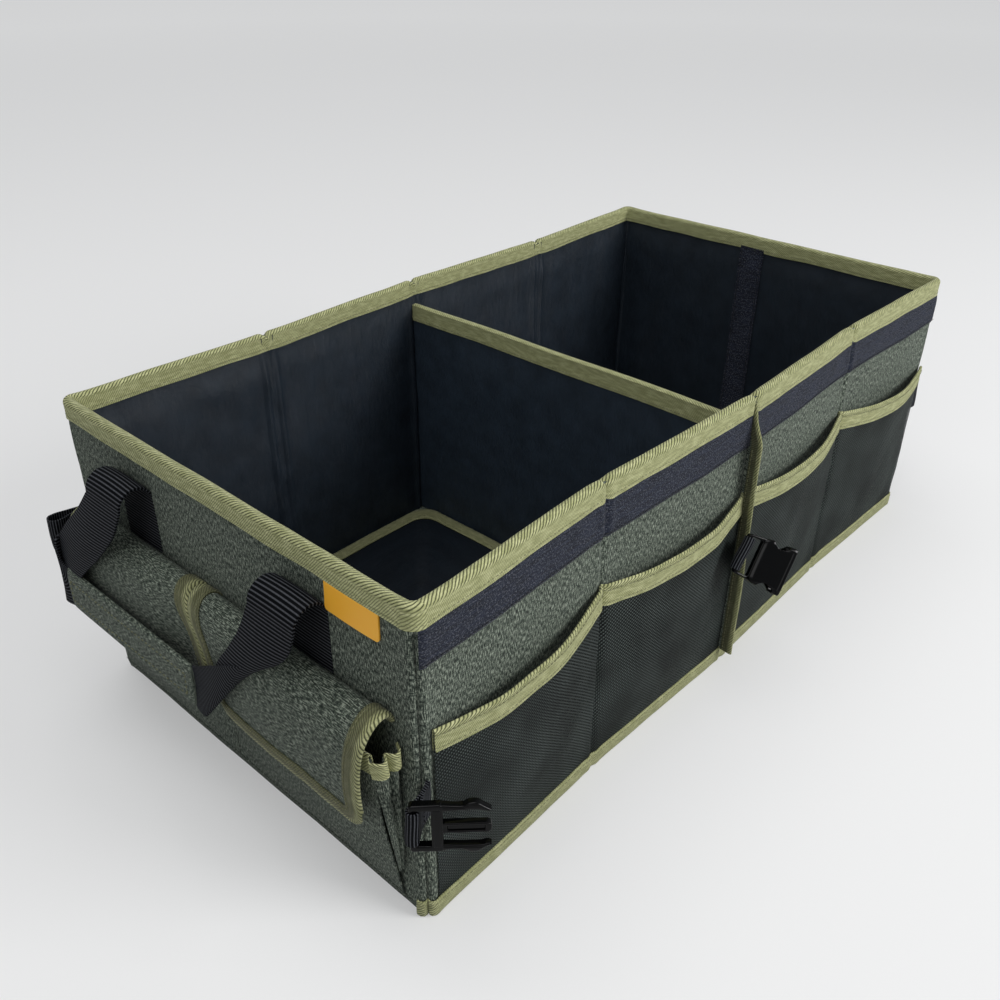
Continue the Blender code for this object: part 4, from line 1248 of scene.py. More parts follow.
def make_flaps():
    """The two bound flaps that hang over the pocket."""
    total, corner, leg = FLAP_RUN[-1], FLAP_CORNER, FLAP_LEG
    for name, side, seed in (("back", 1, 2.3), ("front", -1, 7.9)):

        def edge(run, inset, side=side):
            """The two side edges at this run, back to front."""
            share = np.asarray(run) / total
            inner = flap_split(share) + side * (0.0022 + inset)
            outer = side * (POCKET_HALF - 0.0008 - inset) + 0.0015 * np.sin(share * 7) * side
            return (outer, inner) if side > 0 else (inner, outer)

        def run_limit(y, high, low, inset):
            """How far down the flap reaches at y, with its rounded corners."""
            radius = corner - inset
            distance = np.clip(np.minimum(high - y, y - low), 0, radius)
            return total - inset - radius + np.sqrt(np.maximum(0.0, radius ** 2 - (radius - distance) ** 2))

        shares = np.linspace(0, 1, 60)
        turn = corner * (1 - np.cos(np.linspace(0, math.pi / 2, 7)))
        rows = []
        for run in np.linspace(0.0, total, 44):
            high, low = edge(run, 0.0)
            flat = high - corner + (low + 2 * corner - high) * shares[1:-1]
            ys = np.concatenate([high - turn, flat, low + turn[::-1]])
            rows.append(flap_surface(ys, np.minimum(run, run_limit(ys, high, low, 0.0)), 0.0, seed))
        made = cloth(f"flap_cloth_{name}", rows, "flap_fabric", FABRIC, -1, f"flap_{name}")

        def rim(inset, lift):
            """A line along the flap's bound edge, moved inwards by inset."""
            runs = np.linspace(0.0035, total - corner, 34)
            radius, low_run = corner - inset, total - corner
            line = [(edge(run, inset)[0], run) for run in runs]
            high, low = edge(low_run, 0.0)
            high, low = high - corner, low + corner
            for angle in np.radians(np.linspace(0, 90, 9))[1:]:
                line.append((high + radius * math.cos(angle), low_run + radius * math.sin(angle)))
            for share in np.linspace(0, 1, 36)[1:-1]:
                line.append((high + (low - high) * share, total - inset))
            for angle in np.radians(np.linspace(90, 0, 9)):
                line.append((low - radius * math.cos(angle), low_run + radius * math.sin(angle)))
            line += [(edge(run, inset)[1], run) for run in runs[::-1][1:]]
            line = np.array(line)
            return flap_surface(line[:, 0], line[:, 1], lift, seed)

        face = FABRIC + GAP
        profile = [(leg, -GAP), (leg * 0.5, -GAP - 0.0001), (0.0006, -GAP), (-0.0005, 0.0),
                   (-0.0008, FABRIC / 2), (-0.0005, FABRIC), (0.0006, face), (leg * 0.5, face + 0.0003),
                   (leg * 0.9, face + 0.0001), (leg, face)]
        lines = [rim(inset, lift) for inset, lift in profile]
        tape = cloth(f"flap_tape_{name}", lines, "flap_tape", TAPE, 1, f"flap_{name}_binding")
        declare_sheet(rows)
        line = rim(leg - 0.0020, face + TAPE + 0.0004)
        sew("seam", line, (-1.0, 0.0, 0.3))
        high, low = edge(0.005, 0.0)
        ys = np.linspace(high - 0.003, low + 0.003, 60)
        seam = flap_surface(ys, 0 * ys + 0.0055, FABRIC + 0.0002, seed)
        sew("green", seam, (-0.3, 0.0, 1.0))


def make_tag():
    """The bare orange tag under the rim, with two rounded lower corners."""
    low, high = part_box("side_tag")
    back = high.y - 0.0052
    length, tall, radius = back - low.y, high.z - low.z, 0.0022
    corner = radius * (1 - np.cos(np.linspace(0, math.pi / 2, 6)))
    flat = np.linspace(back - radius, low.y + radius, 22)[1:-1]
    ys = np.concatenate([back - corner, flat, low.y + corner[::-1]])
    rows = []
    for share in np.linspace(1.0, 0.0, 12):
        distance = np.clip(np.minimum(back - ys, ys - low.y), 0, radius)
        cut = radius - np.sqrt(np.maximum(0.0, radius ** 2 - (radius - distance) ** 2))
        drop = np.minimum(tall * share, tall - cut)
        z = high.z - drop
        curl = 0.0006 * (drop / tall) ** 2 + 0.0003 * np.sin((ys - low.y) / length * math.pi)
        rows.append(skin(near_s(ys), z, GAP + curl))
    made = cloth("tag_plate", rows, "tag", 0.0011, 1, body=None)
    soften(made, 0.0003, 3)
    settle(made)
    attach(made, "body")
    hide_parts("side_tag")


# Handles

STRAP = 0.040
ARCH_Z = 0.197
ARCH_RADIUS = 0.0113
GRIP_Z = 0.107
GRIP_TALL = 0.034
GRIP_HIGH, GRIP_LOW = 0.1225, 0.0915  # a strap's edges inside the grip
GRIP_THICK = 0.0027
GRIP_SEAMS = (0.0085, -0.0080)
SWELL_CAP = 0.0032
SWELL_FRAMES = 20
SEWN_LOW = 0.156
FOLD_RADIUS = 0.0017
BLEND_START = (0.0215, 0.0050)
BLEND_END = (0.0303, 0.0017)


# Each strap's outer and inner edges as (y, z): from the arch down to the crease, and on into the grip
NEAR_STRAPS = (
    (
        ([(0.1080, ARCH_Z), (0.1240, 0.178), (0.1430, 0.160), (0.1590, 0.143)],
         [(0.1560, 0.134), (0.1480, GRIP_HIGH), (0.1300, GRIP_HIGH)]),
        ([(0.0680, ARCH_Z), (0.0780, 0.176), (0.0980, 0.153), (0.1250, 0.127), (0.1560, 0.0920)],
         [(0.1530, 0.0916), (0.1480, GRIP_LOW), (0.1300, GRIP_LOW)]),
    ),
    (
        ([(-0.1060, ARCH_Z), (-0.1000, 0.180), (-0.0850, 0.166), (-0.0660, 0.156)],
         [(-0.0480, 0.148), (-0.0270, 0.136), (-0.0065, 0.1228), (0.0120, GRIP_HIGH)]),
        ([(-0.0660, ARCH_Z), (-0.0580, 0.176), (-0.0470, 0.158), (-0.0340, 0.138), (-0.0170, 0.0920)],
         [(-0.0130, GRIP_LOW), (-0.0100, GRIP_LOW), (-0.0065, GRIP_LOW), (0.0120, GRIP_LOW)]),
    ),
)
FAR_MIDDLE = -0.006
FAR_BACK = (
    ([(0.1015, ARCH_Z), (0.1015, 0.180), (0.1005, 0.160), (0.0985, 0.146)],
     [(0.0880, 0.136), (0.0665, GRIP_HIGH), (0.0500, GRIP_HIGH)]),
    ([(0.0615, ARCH_Z), (0.0625, 0.176), (0.0640, 0.150), (0.0670, 0.120), (0.0740, 0.0920)],
     [(0.0710, 0.0916), (0.0665, GRIP_LOW), (0.0500, GRIP_LOW)]),
)
FAR_FRONT = [[[(2 * FAR_MIDDLE - y, z) for y, z in part] for part in edge] for edge in FAR_BACK]


def hang_out(z):
    """How far out of the wall the hanging plane is at a height."""
    return GAP + 2 * ARCH_RADIUS + 0.0105 * np.clip((ARCH_Z - z) / (ARCH_Z - GRIP_Z), 0, 1.3)


def make_strap(name, end, centre, outer, inner, replaced):
    """One half of a handle's webbing: sewn to the wall, arched over, hung, and folded into the grip.

    outer and inner are the strap's two edges down the hanging plane. Each has the points from the arch
    to the diagonal crease, and then those past it. At the crease the strap folds over itself, away
    from the wall.
    """
    side = math.copysign(1, outer[0][0][0] - inner[0][0][0])
    columns = np.linspace(-1, 1, 17) * side
    place_s = near_s if end < 0 else far_s
    rows = []
    y = centre + STRAP / 2 * columns
    for z in np.linspace(SEWN_LOW, ARCH_Z, 12)[:-1]:
        out = skin_wave(place_s(y), z) + GAP + 0.0003 * (1 - columns ** 2)
        rows.append(spots(out, y, z))
    for angle in np.radians(np.linspace(180, 0, 21)):
        near_wall = 0.5 - 0.5 * math.cos(angle)
        out = GAP + ARCH_RADIUS + ARCH_RADIUS * math.cos(angle) + skin_wave(place_s(y), ARCH_Z) * near_wall
        z = ARCH_Z + (ARCH_RADIUS + 0.0010 * (1 - columns ** 2)) * math.sin(angle)
        rows.append(spots(out, y, z))
    sewn = len(rows)
    hung = [curve_through(edge[0], 46) for edge in (inner, outer)]
    share = (columns * side + 1) / 2
    radius = FOLD_RADIUS
    for index in range(1, 46):
        low, high = hung[0][index], hung[1][index]
        along = index / 45
        y = low[0] + (high[0] - low[0]) * share
        z = low[1] + (high[1] - low[1]) * share
        belly = 0.0045 * math.sin(math.pi * along) * (1 - 0.5 * share)
        curl = -0.0022 * (2 * share - 1) ** 2 * math.sin(math.pi * along)
        rows.append(spots(hang_out(z) + belly + curl - 0.0012 * along, y, z))
    creased = len(rows)
    crease = np.array(outer[0][-1]) - np.array(inner[0][-1])
    crease /= np.linalg.norm(crease)
    past = np.array([crease[1], -crease[0]])
    past = past if past[1] < 0 else -past
    last = rows[-1]
    for angle in np.radians(np.linspace(0, 180, 7)):
        shift = past * radius * math.sin(angle)
        rows.append(last + np.array([radius * (1 - math.cos(angle)), *shift]))
    banded = [curve_through(edge[0][-1:] + edge[1], 22) for edge in (inner, outer)]
    inside_grip = float(hang_out(np.array(GRIP_Z)))
    for index in range(1, 22):
        low, high = banded[0][index], banded[1][index]
        along = blend_step(index / 21, 0.0, 0.8)
        y = low[0] + (high[0] - low[0]) * share
        z = low[1] + (high[1] - low[1]) * share
        belly = 0.0050 * math.sin(math.pi * (0.1 + 0.9 * index / 21)) * share
        free = hang_out(z) + 2 * radius - 0.0012 + belly
        rows.append(spots(free * (1 - along) + inside_grip * along, y, z))
    points = np.array(rows)
    runs = strap_runs(points, sewn, creased)
    points[..., 0] = end * (HALF_L + points[..., 0])
    points = points.swapaxes(0, 1)
    return cloth(name, points, "webbing", WEBBING, int(end * side), *replaced, body=None, runs=runs.T)


def strap_runs(points, sewn, creased):
    """Each point's distance along a strap.

    Its ribs lie level down to the crease, and square to the strap in the grip.
    """
    middle = points[:, points.shape[1] // 2]
    along = run_along(middle)
    runs = np.repeat(along[:, None], points.shape[1], axis=1)
    runs[sewn:creased] = along[sewn - 1] + ARCH_Z - points[sewn:creased, :, 2]
    way = np.gradient(middle[:, 1:], axis=0)
    way /= np.maximum(np.linalg.norm(way, axis=1), 1e-9)[:, None]
    lean = ((points[:, :, 1:] - middle[:, None, 1:]) * way[:, None]).sum(axis=2)
    last = creased - 1
    centre = runs[last, points.shape[1] // 2]
    for number in range(creased, len(points)):
        share = blend_step(number, creased + 4, creased + 16)
        start = centre + along[number] - along[last]
        runs[number] = start + (runs[last] - centre) * (1 - share) + lean[number] * share
    return runs


def make_handle(which, end, back, front, grip_from, grip_to):
    """A carry handle: straps sewn to the wall, arched over, and threaded through a padded grip."""
    halves = (
        ("back", back, (f"{which}_handle_root_back", f"{which}_handle_webbing")),
        ("front", front, (f"{which}_handle_root_front",)),
    )
    for label, (outer, inner), stood in halves:
        centre = (outer[0][0][0] + inner[0][0][0]) / 2
        made = make_strap(f"{which}_strap_{label}", end, centre, outer, inner, stood)
        stays, swings = ((end * (HALF_L + out), centre, ARCH_Z + up) for out, up in (BLEND_START, BLEND_END))
        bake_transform(made)
        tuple(stays)
        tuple(swings)
        if end > 0:
            box_stitches(f"{which}_root_stitches_{label}", end, centre)
    make_grip(which, end, grip_from, grip_to)


def box_stitches(name, end, centre):
    """The sewn box with its cross that holds a strap to the wall."""
    out = end * (HALF_L + GAP + WEBBING + 0.0022)
    corners = [(-0.017, 0.162), (0.017, 0.162), (0.017, 0.180), (-0.017, 0.180)]
    pairs = [(0, 1), (1, 2), (2, 3), (3, 0), (0, 2), (1, 3)]
    places = []
    for a, b in pairs:
        line = [(out, centre + corners[a][0] + (corners[b][0] - corners[a][0]) * t,
                 corners[a][1] + (corners[b][1] - corners[a][1]) * t) for t in np.linspace(0, 1, 12)]
        places += stitch_places(line, (float(end), 0.0, 0.0))
    stitches(name, places, "pale_thread")


def make_grip(which, end, y_high, y_low):
    """The flattened padded sleeve round the strap, with two quilted stitch rows."""
    tall, thick = GRIP_TALL / 2 - 0.0004, GRIP_THICK
    around = 44
    section = []
    for index in range(around):
        angle = 2 * math.pi * index / around
        up = math.copysign(abs(math.sin(angle)) ** 0.85, math.sin(angle)) * tall
        out = math.copysign(abs(math.cos(angle)) ** 0.60, math.cos(angle)) * thick
        section.append((out, up))
    section = np.array(section)
    stations = np.linspace(y_high, y_low, max(24, int(abs(y_high - y_low) / 0.0030)))
    rows = []
    for position, y in enumerate(stations):
        from_end = min(position, len(stations) - 1 - position)
        close = 1.0 - 0.35 * math.exp(-from_end / 1.2)
        z = GRIP_Z + section[:, 1]
        middle = float(hang_out(np.array(GRIP_Z)))
        out = hang_out(z) * 0.35 + middle * 0.65 + WEBBING / 2 + section[:, 0] * close
        rows.append(spots(end * (HALF_L + out), y, z))
    rows = np.array(rows)
    if end > 0:
        rows = rows[:, ::-1]
    count = len(rows)
    faces, places = [], []
    u = run_along(np.vstack([rows[0], rows[0][:1]]))
    for r in range(count - 1):
        for c in range(around):
            after = (c + 1) % around
            here, above = r * around, (r + 1) * around
            faces.append((here + c, above + c, above + after, here + after))
            v, v_above = stations[r], stations[r + 1]
            places += [(u[c], v), (u[c], v_above), (u[c + 1], v_above), (u[c + 1], v)]
    verts = rows.reshape(-1, 3).tolist()
    for r, flip in ((0, False), (count - 1, True)):
        centre = len(verts)
        verts.append(rows[r].mean(axis=0).tolist())
        for c in range(around):
            loop = (r * around + c, r * around + (c + 1) % around, centre)
            faces.append(loop[::-1] if flip else loop)
            edge = [(u[c], stations[r]), (u[c + 1], stations[r]), (u[c], stations[r])]
            places += edge[::-1] if flip else edge
    made = add_mesh(which + "_grip_sleeve", verts, faces, places)
    fix_normals(made)
    flat = np.array([v.co for v in made.data.vertices])
    up = flat[:, 2] - GRIP_Z
    ends = np.minimum(np.abs(flat[:, 1] - y_high), np.abs(flat[:, 1] - y_low))
    held = [index for index in range(len(flat))
            if ends[index] < 0.0045 or min(abs(up[index] - seam) for seam in GRIP_SEAMS) < 0.0011]
    puff_by_cloth(made, held)
    fine = made.modifiers.new("fine", "SUBSURF")
    fine.levels = 1
    fine.render_levels = 1
    settle(made, 70)
    set_up(made, "outer_fabric", which + "_handle", f"{which}_handle_grip")
    rows_of_stitches = []
    outer_face = HALF_L + float(hang_out(np.array(GRIP_Z))) + WEBBING / 2
    for seam in GRIP_SEAMS:
        sewn = [(y, GRIP_Z + seam) for y in np.linspace(y_high, y_low, 60)[2:-2]]
        line = surface_line(made, end, outer_face, sewn)
        rows_of_stitches += stitch_places(line, (float(end), 0.0, 0.0), 0.0042)
    for y in (y_low - math.copysign(0.006, y_low - y_high), y_high - math.copysign(0.006, y_high - y_low)):
        sewn = [(y, GRIP_Z + z) for z in np.linspace(GRIP_SEAMS[1], GRIP_SEAMS[0], 10)]
        line = surface_line(made, end, outer_face, sewn)
        rows_of_stitches += stitch_places(line, (float(end), 0.0, 0.0), 0.0036)
    stitches(which + "_grip_stitches", rows_of_stitches, "olive_thread", which + "_handle")


def fix_normals(made):
    bm = bmesh.new()
    bm.from_mesh(made.data)
    bmesh.ops.recalc_face_normals(bm, faces=bm.faces[:])
    bm.to_mesh(made.data)
    bm.free()


def puff_by_cloth(made, held):
    """Swells a piece with cloth pressure, holding its seams, and caps the movement."""
    start = np.array([v.co for v in made.data.vertices])
    group = made.vertex_groups.new(name="held")
    group.add([int(index) for index in held], 1.0, "REPLACE")
    soft = made.modifiers.new("swell", "CLOTH")
    soft.settings.use_pressure = True
    soft.settings.uniform_pressure_force = 4.0
    soft.settings.vertex_group_mass = "held"
    soft.settings.effector_weights.gravity = 0.0
    soft.settings.tension_stiffness = 12.0
    soft.settings.compression_stiffness = 12.0
    soft.settings.bending_stiffness = 0.3
    soft.settings.quality = 6
    soft.point_cache.frame_start = 1
    soft.point_cache.frame_end = SWELL_FRAMES
    scene = bpy.context.scene
    for step in range(1, SWELL_FRAMES + 1):
        scene.frame_set(step)
    graph = bpy.context.evaluated_depsgraph_get()
    swollen = np.array([v.co for v in made.evaluated_get(graph).data.vertices])
    made.modifiers.clear()
    made.vertex_groups.clear()
    scene.frame_set(1)
    moved = swollen - start
    size = np.linalg.norm(moved, axis=1)
    moved *= (np.minimum(size, SWELL_CAP) / np.maximum(size, 1e-9))[:, None]
    made.data.vertices.foreach_set("co", (start + moved).ravel())
    made.data.update()


def surface_line(made, end, outer_face, places):
    """Where rays towards the wall at each (y, z) meet the outside of a piece."""
    bpy.context.view_layer.update()
    inverse = made.matrix_world.inverted()
    line = []
    for y, z in places:
        start = inverse @ Vector((end * (outer_face + 0.05), y, z))
        aim = (inverse.to_3x3() @ Vector((-end, 0, 0))).normalized()
        hit, point, _, _ = made.ray_cast(start, aim)
        if hit:
            line.append(made.matrix_world @ point + Vector((end * 0.0003, 0, 0)))
    return np.array([tuple(p) for p in line])


# Ribbons and buckles

def axes_frame(origin, along, bar):
    z_axis = Vector(bar).normalized()
    x_axis = Vector(along)
    x_axis = (x_axis - z_axis * x_axis.dot(z_axis)).normalized()
    turn = Matrix((x_axis, z_axis.cross(x_axis), z_axis)).transposed().to_4x4()
    return Matrix.Translation(origin) @ turn


def ribbon_loop(name, frame, reach, radius, replaced, slant=0.0):
    """A ribbon sewn to itself round a bar at the frame's origin, its doubled tail along -X."""
    thick = RIBBON
    open_loop = radius > 0.004
    neck = -radius * 2.6 - 0.001
    seam = 0.006 - reach if open_loop else neck - 0.002
    line = [(-reach, thick * 0.55), (-reach * 0.85 + seam * 0.15, thick * 0.56), (seam, thick * 0.62)]
    if open_loop:
        line += [(seam * 0.55, radius * 0.62), (seam * 0.18, radius * 1.02)]
    for angle in np.linspace(100, -100, 15):
        turn = math.radians(angle)
        line.append((radius * math.cos(turn), radius * math.sin(turn) * 1.05))
    if open_loop:
        line += [(seam * 0.18, -radius * 1.02), (seam * 0.55, -radius * 0.62)]
    line += [(seam, -thick * 0.62), (-reach * 0.85 + seam * 0.15, -thick * 0.56), (-reach, -thick * 0.55)]
    line = curve_through(line, 96)
    half = RIBBON_HALF
    rows = []
    for z in np.linspace(-half, half, 11):
        edge = abs(z) / half
        sag = 0.0005 * (1 - edge ** 2) * math.copysign(1, radius)
        share = np.clip((-line[:, 0] - radius) / (reach - radius), 0, 1)
        twist = 0.0006 * np.sin(z * 140 + line[:, 0] * 60) * (share < 0.9)
        x = line[:, 0] + slant * z * share + sag * (share < 0.5)
        rows.append(spots(x, line[:, 1] + twist, z))
    rows = np.array(rows)
    local = rows.reshape(-1, 3)
    turned = np.array([tuple(frame @ Vector(p)) for p in local]).reshape(rows.shape)
    cloth(name, turned, "ribbon", thick, 0, replaced)
    tail = [tuple(frame @ Vector((seam - 0.0012 + slant * z, thick * 1.15, z)))
            for z in np.linspace(-0.0105, 0.0105, 9)]
    out = frame.to_3x3() @ Vector((0, 1, 0))
    sew("strip", tail, out)


def rounded_plate(name, outlines, thickness, edge):
    """Flat outlines with their holes, extruded both ways and laid in the XZ plane, with rounded edges."""
    curve = bpy.data.curves.new(name, "CURVE")
    curve.dimensions = "2D"
    curve.fill_mode = "BOTH"
    curve.extrude = thickness / 2 - edge
    curve.bevel_depth = edge
    curve.bevel_resolution = 3
    curve.offset = -edge
    for outline in outlines:
        spline = curve.splines.new("POLY")
        spline.points.add(len(outline) - 1)
        for point, place in zip(spline.points, outline):
            point.co = (place[0], place[1], 0.0, 1.0)
        spline.use_cyclic_u = True
    guide = add_object(name + "_guide", curve)
    bpy.context.view_layer.update()
    graph = bpy.context.evaluated_depsgraph_get()
    mesh = bpy.data.meshes.new_from_object(guide.evaluated_get(graph))
    bpy.data.objects.remove(guide, do_unlink=True)
    bm = bmesh.new()
    bm.from_mesh(mesh)
    bmesh.ops.remove_doubles(bm, verts=bm.verts[:], dist=1e-6)
    bmesh.ops.recalc_face_normals(bm, faces=bm.faces[:])
    bmesh.ops.transform(bm, matrix=Matrix.Rotation(math.radians(90), 4, "X"), verts=bm.verts[:])
    bm.to_mesh(mesh)
    bm.free()
    mesh.name = name
    shade_smooth(mesh, 38)
    return add_object(name, mesh)


def rounded(points, radius):
    """A closed outline with each corner rounded by up to this radius."""
    points = [np.array(p, float) for p in points]
    out = []
    count = len(points)
    for index, here in enumerate(points):
        before, after = points[index - 1], points[(index + 1) % count]
        way_in, way_out = before - here, after - here
        size_in, size_out = np.linalg.norm(way_in), np.linalg.norm(way_out)
        reach = min(radius, size_in * 0.45, size_out * 0.45)
        start, end = here + way_in / size_in * reach, here + way_out / size_out * reach
        for t in np.linspace(0, 1, 5):
            out.append((1 - t) ** 2 * start + 2 * t * (1 - t) * here + t ** 2 * end)
    return out


BUCKLE_HALF = 0.018
BUCKLE_LOOP = 0.0032
LASH_REACH = 0.026
LASH_RADIUS = 0.0048
BAR = 0.0030
SLOT = 0.0085
CROSS = 0.0065
PLATE = 0.0050


def mirrored(points):
    return [tuple(p) for p in points] + [(p[0], -p[1]) for p in reversed(points)]


def ribbon_slot():
    """The slot beside the bar that the ribbon wraps."""
    half = RIBBON_HALF + 0.0012
    return rounded(mirrored([(BAR / 2, half), (BAR / 2 + SLOT, half)]), 0.0012)


def make_male(frame):
    """The pronged half: slotted frame, rimmed centre guide and two springy arms."""
    half = BUCKLE_HALF
    shoulder = BAR / 2 + SLOT + CROSS
    tip = shoulder + 0.026
    inner = half - 0.0052
    plate = rounded(mirrored([(-BAR / 2 - 0.0002, half - 0.0004), (shoulder, half)]), 0.0022)
    hole = ribbon_slot()
    parts = [rounded_plate("buckle_frame", [plate, hole], PLATE, 0.0009)]
    for side in (1, -1):
        outer = curve_through([
            (shoulder - 0.003, half - 0.0002), (shoulder + 0.005, half - 0.0012),
            (shoulder + 0.0105, half - 0.0012), (shoulder + 0.0138, half + 0.0008),
            (shoulder + 0.0185, half + 0.0007), (shoulder + 0.0225, half - 0.0022),
            (tip - 0.0002, inner + 0.0006)], 30)
        back = curve_through([
            (tip - 0.0030, inner), (shoulder + 0.019, inner + 0.0010), (shoulder + 0.010, inner + 0.0010),
            (shoulder + 0.003, inner + 0.0004), (shoulder - 0.003, inner + 0.0002)], 24)
        outline = [(x, side * y) for x, y in np.vstack([outer, back])]
        parts.append(rounded_plate("buckle_arm", [outline], PLATE * 0.92, 0.0009))
        rib = [(x, side * (y - 0.0011)) for x, y in outer[3:26]]
        rib += [(x, side * (y + 0.0012)) for x, y in back[4:-2]]
        parts.append(rounded_plate("arm_rib", [rib], PLATE * 0.98, 0.0005))
    guide = rounded([(shoulder - 0.003, 0.0036), (tip - 0.0020, 0.0036), (tip, 0.0020), (tip, -0.0020),
                     (tip - 0.0020, -0.0036), (shoulder - 0.003, -0.0036)], 0.0010)
    slit = rounded([(shoulder + 0.0022, 0.0022), (tip - 0.0036, 0.0022), (tip - 0.0036, -0.0022),
                    (shoulder + 0.0022, -0.0022)], 0.0009)
    parts.append(rounded_plate("guide_rim", [guide, slit], PLATE * 0.86, 0.0006))
    parts.append(rounded_plate("guide_web", [slit], PLATE * 0.45, 0.0002))
    ridge = rounded([(BAR / 2 + SLOT + 0.0010, 0.0145), (shoulder - 0.0012, 0.0145),
                     (shoulder - 0.0012, -0.0145), (BAR / 2 + SLOT + 0.0010, -0.0145)], 0.0009)
    parts.append(rounded_plate("shoulder_ridge", [ridge], PLATE * 1.10, 0.0004))
    made = join("pronged_half", parts)
    made.data.transform(frame)
    set_up(made, "buckle", "male_clip", "male_buckle")


def ring_loft(name, stations):
    """A closed tube through rounded-rectangle rings: (x, half width, half depth, power)."""
    around = 48
    rows = []
    for x, wide, deep, power in stations:
        angles = np.linspace(0, 2 * math.pi, around, endpoint=False)
        c, s = np.cos(angles), np.sin(angles)
        z = np.sign(c) * np.abs(c) ** (2 / power) * wide
        y = np.sign(s) * np.abs(s) ** (2 / power) * deep
        rows.append(spots(x, y, z))
    verts = np.array(rows).reshape(-1, 3).tolist()
    faces = []
    count = len(rows)
    for r in range(count - 1):
        for c in range(around):
            after = (c + 1) % around
            faces.append((r * around + c, r * around + after, (r + 1) * around + after, (r + 1) * around + c))
    faces.append(tuple(range(around))[::-1])
    faces.append(tuple(range((count - 1) * around, count * around)))
    made = add_mesh(name, verts, faces)
    fix_normals(made)
    return made


SIDE_CUT = ((0.0070, 0.0020), (0.0082, -0.0020), (0.0120, -0.0044), (0.0165, -0.0044), (0.0205, -0.0022),
            (0.0225, 0.0020))


def make_female(frame):
    """The socket half: slotted tail, glossy hollow body with side cut-outs and a lipped mouth."""
    half = BUCKLE_HALF
    cross = BAR / 2 + SLOT
    mouth = cross + 0.027
    tail = rounded(mirrored([(-BAR / 2 - 0.0002, half - 0.0030), (cross + 0.006, half - 0.0012)]), 0.0022)
    hole = ribbon_slot()
    plate = rounded_plate("socket_tail", [tail, hole], PLATE, 0.0009)
    deep = 0.0055
    shell = ring_loft("socket_shell", [
        (cross + 0.0006, half - 0.0032, 0.0024, 5), (cross + 0.0014, half - 0.0020, 0.0032, 6),
        (cross + 0.0045, half - 0.0010, 0.0046, 7), (cross + 0.0100, half - 0.0002, 0.0053, 8),
        (mouth - 0.0030, half - 0.0002, deep - 0.0002, 8), (mouth - 0.0026, half + 0.0002, deep + 0.0001, 8),
        (mouth - 0.0004, half + 0.0002, deep + 0.0001, 8), (mouth, half - 0.0002, deep - 0.0003, 8)])
    hollow = ring_loft("socket_hollow", [
        (cross + 0.0050, half - 0.0040, deep - 0.0026, 6), (cross + 0.0100, half - 0.0018, deep - 0.0016, 8),
        (mouth - 0.0010, half - 0.0016, deep - 0.0014, 8), (mouth + 0.0010, half - 0.0008, deep - 0.0008, 8)])
    cutters = [hollow]
    for side in (1, -1):
        outline = curve_through([(cross + x, side * (half + y)) for x, y in SIDE_CUT], 24)
        cut = rounded_plate("side_cut", [[tuple(p) for p in outline]], 0.030, 0.0001)
        cutters.append(cut)
    for cutter in cutters:
        step = shell.modifiers.new("cut", "BOOLEAN")
        step.operation = "DIFFERENCE"
        step.object = cutter
        step.solver = "EXACT"
    soften(shell, 0.0004, 2).angle_limit = math.radians(40)
    settle(shell, 35)
    for cutter in cutters:
        bpy.data.objects.remove(cutter, do_unlink=True)
    made = join("socket_half", [shell, plate])
    made.data.transform(frame)
    set_up(made, "buckle", "female_clip", "female_buckle")


def make_ribbons_and_buckles():
    """Two lashing loops, and the two buckle halves on their ribbons."""
    far = Matrix.Translation((HALF_L + GAP + LASH_REACH, -HALF_W + 0.012, 0.109))
    near = Matrix.Translation((-HALF_L - GAP + 0.0008 - LASH_REACH, HALF_W - 0.0035, 0.139))
    near = near @ Matrix.Rotation(math.pi, 4, "Z")
    for which, frame in (("far", far), ("near", near)):
        ribbon_loop("lash_ribbon_" + which, frame, LASH_REACH, LASH_RADIUS, "lash_loop_" + which)
    halves = (
        ("male", (-HALF_L + 0.0048, -HALF_W - 0.0005, 0.103), 0.022, (-0.93, -0.37, 0.0), (0.70, -0.71, 0.0),
         (0.0, 0.0, 1.0), make_male),
        ("female", (-0.0030, -HALF_W - 0.0110, 0.108), 0.030, (-0.97, -0.25, 0.0), (0.45, -0.65, -0.61),
         (0.60, 0.0, 0.80), make_female),
    )
    for name, root, reach, ribbon_way, way, bar, make_half in halves:
        frame = axes_frame(Vector(root), ribbon_way, bar)
        x_axis, z_axis = frame.to_3x3().col[0], frame.to_3x3().col[2]
        frame.translation = Vector(root) + x_axis * reach
        slant = -z_axis.x / x_axis.x
        ribbon_loop(name + "_ribbon", frame, reach, BUCKLE_LOOP, name + "_buckle_ribbon", slant)
        make_half(axes_frame(frame.translation, way, bar))


def make_outer_seams():
    """The sewn seam of the outer cloth round the bottom of the plain walls."""
    far_half = ring_stitches((LONG + TURN, AROUND - TURN - 0.004), lambda s: 0.0075, 0.0002, 0.0042)
    SEWN["green"] += far_half


# Stage, lights and camera

CAMERA_PLACE = (-0.57735, -0.45690, 0.53023)
CAMERA_AZIMUTH = 42.05
CAMERA_DOWN = 31.67
CAMERA_ROLL = 0.29
CAMERA_LENS = 35.82
FLOOR_REACH = 30.0
LIT = Vector((0.0, 0.0, 0.1))
# Each lamp's name, place, size and power
LAMPS = (
    ("key", (0.9, -2.2, 1.35), (1.3, 1.0), 49),
    ("top", (-0.3, 0.1, 2.3), (2.2, 1.5), 23),
    ("side", (-2.0, -0.6, 1.6), (1.2, 1.0), 7),
)


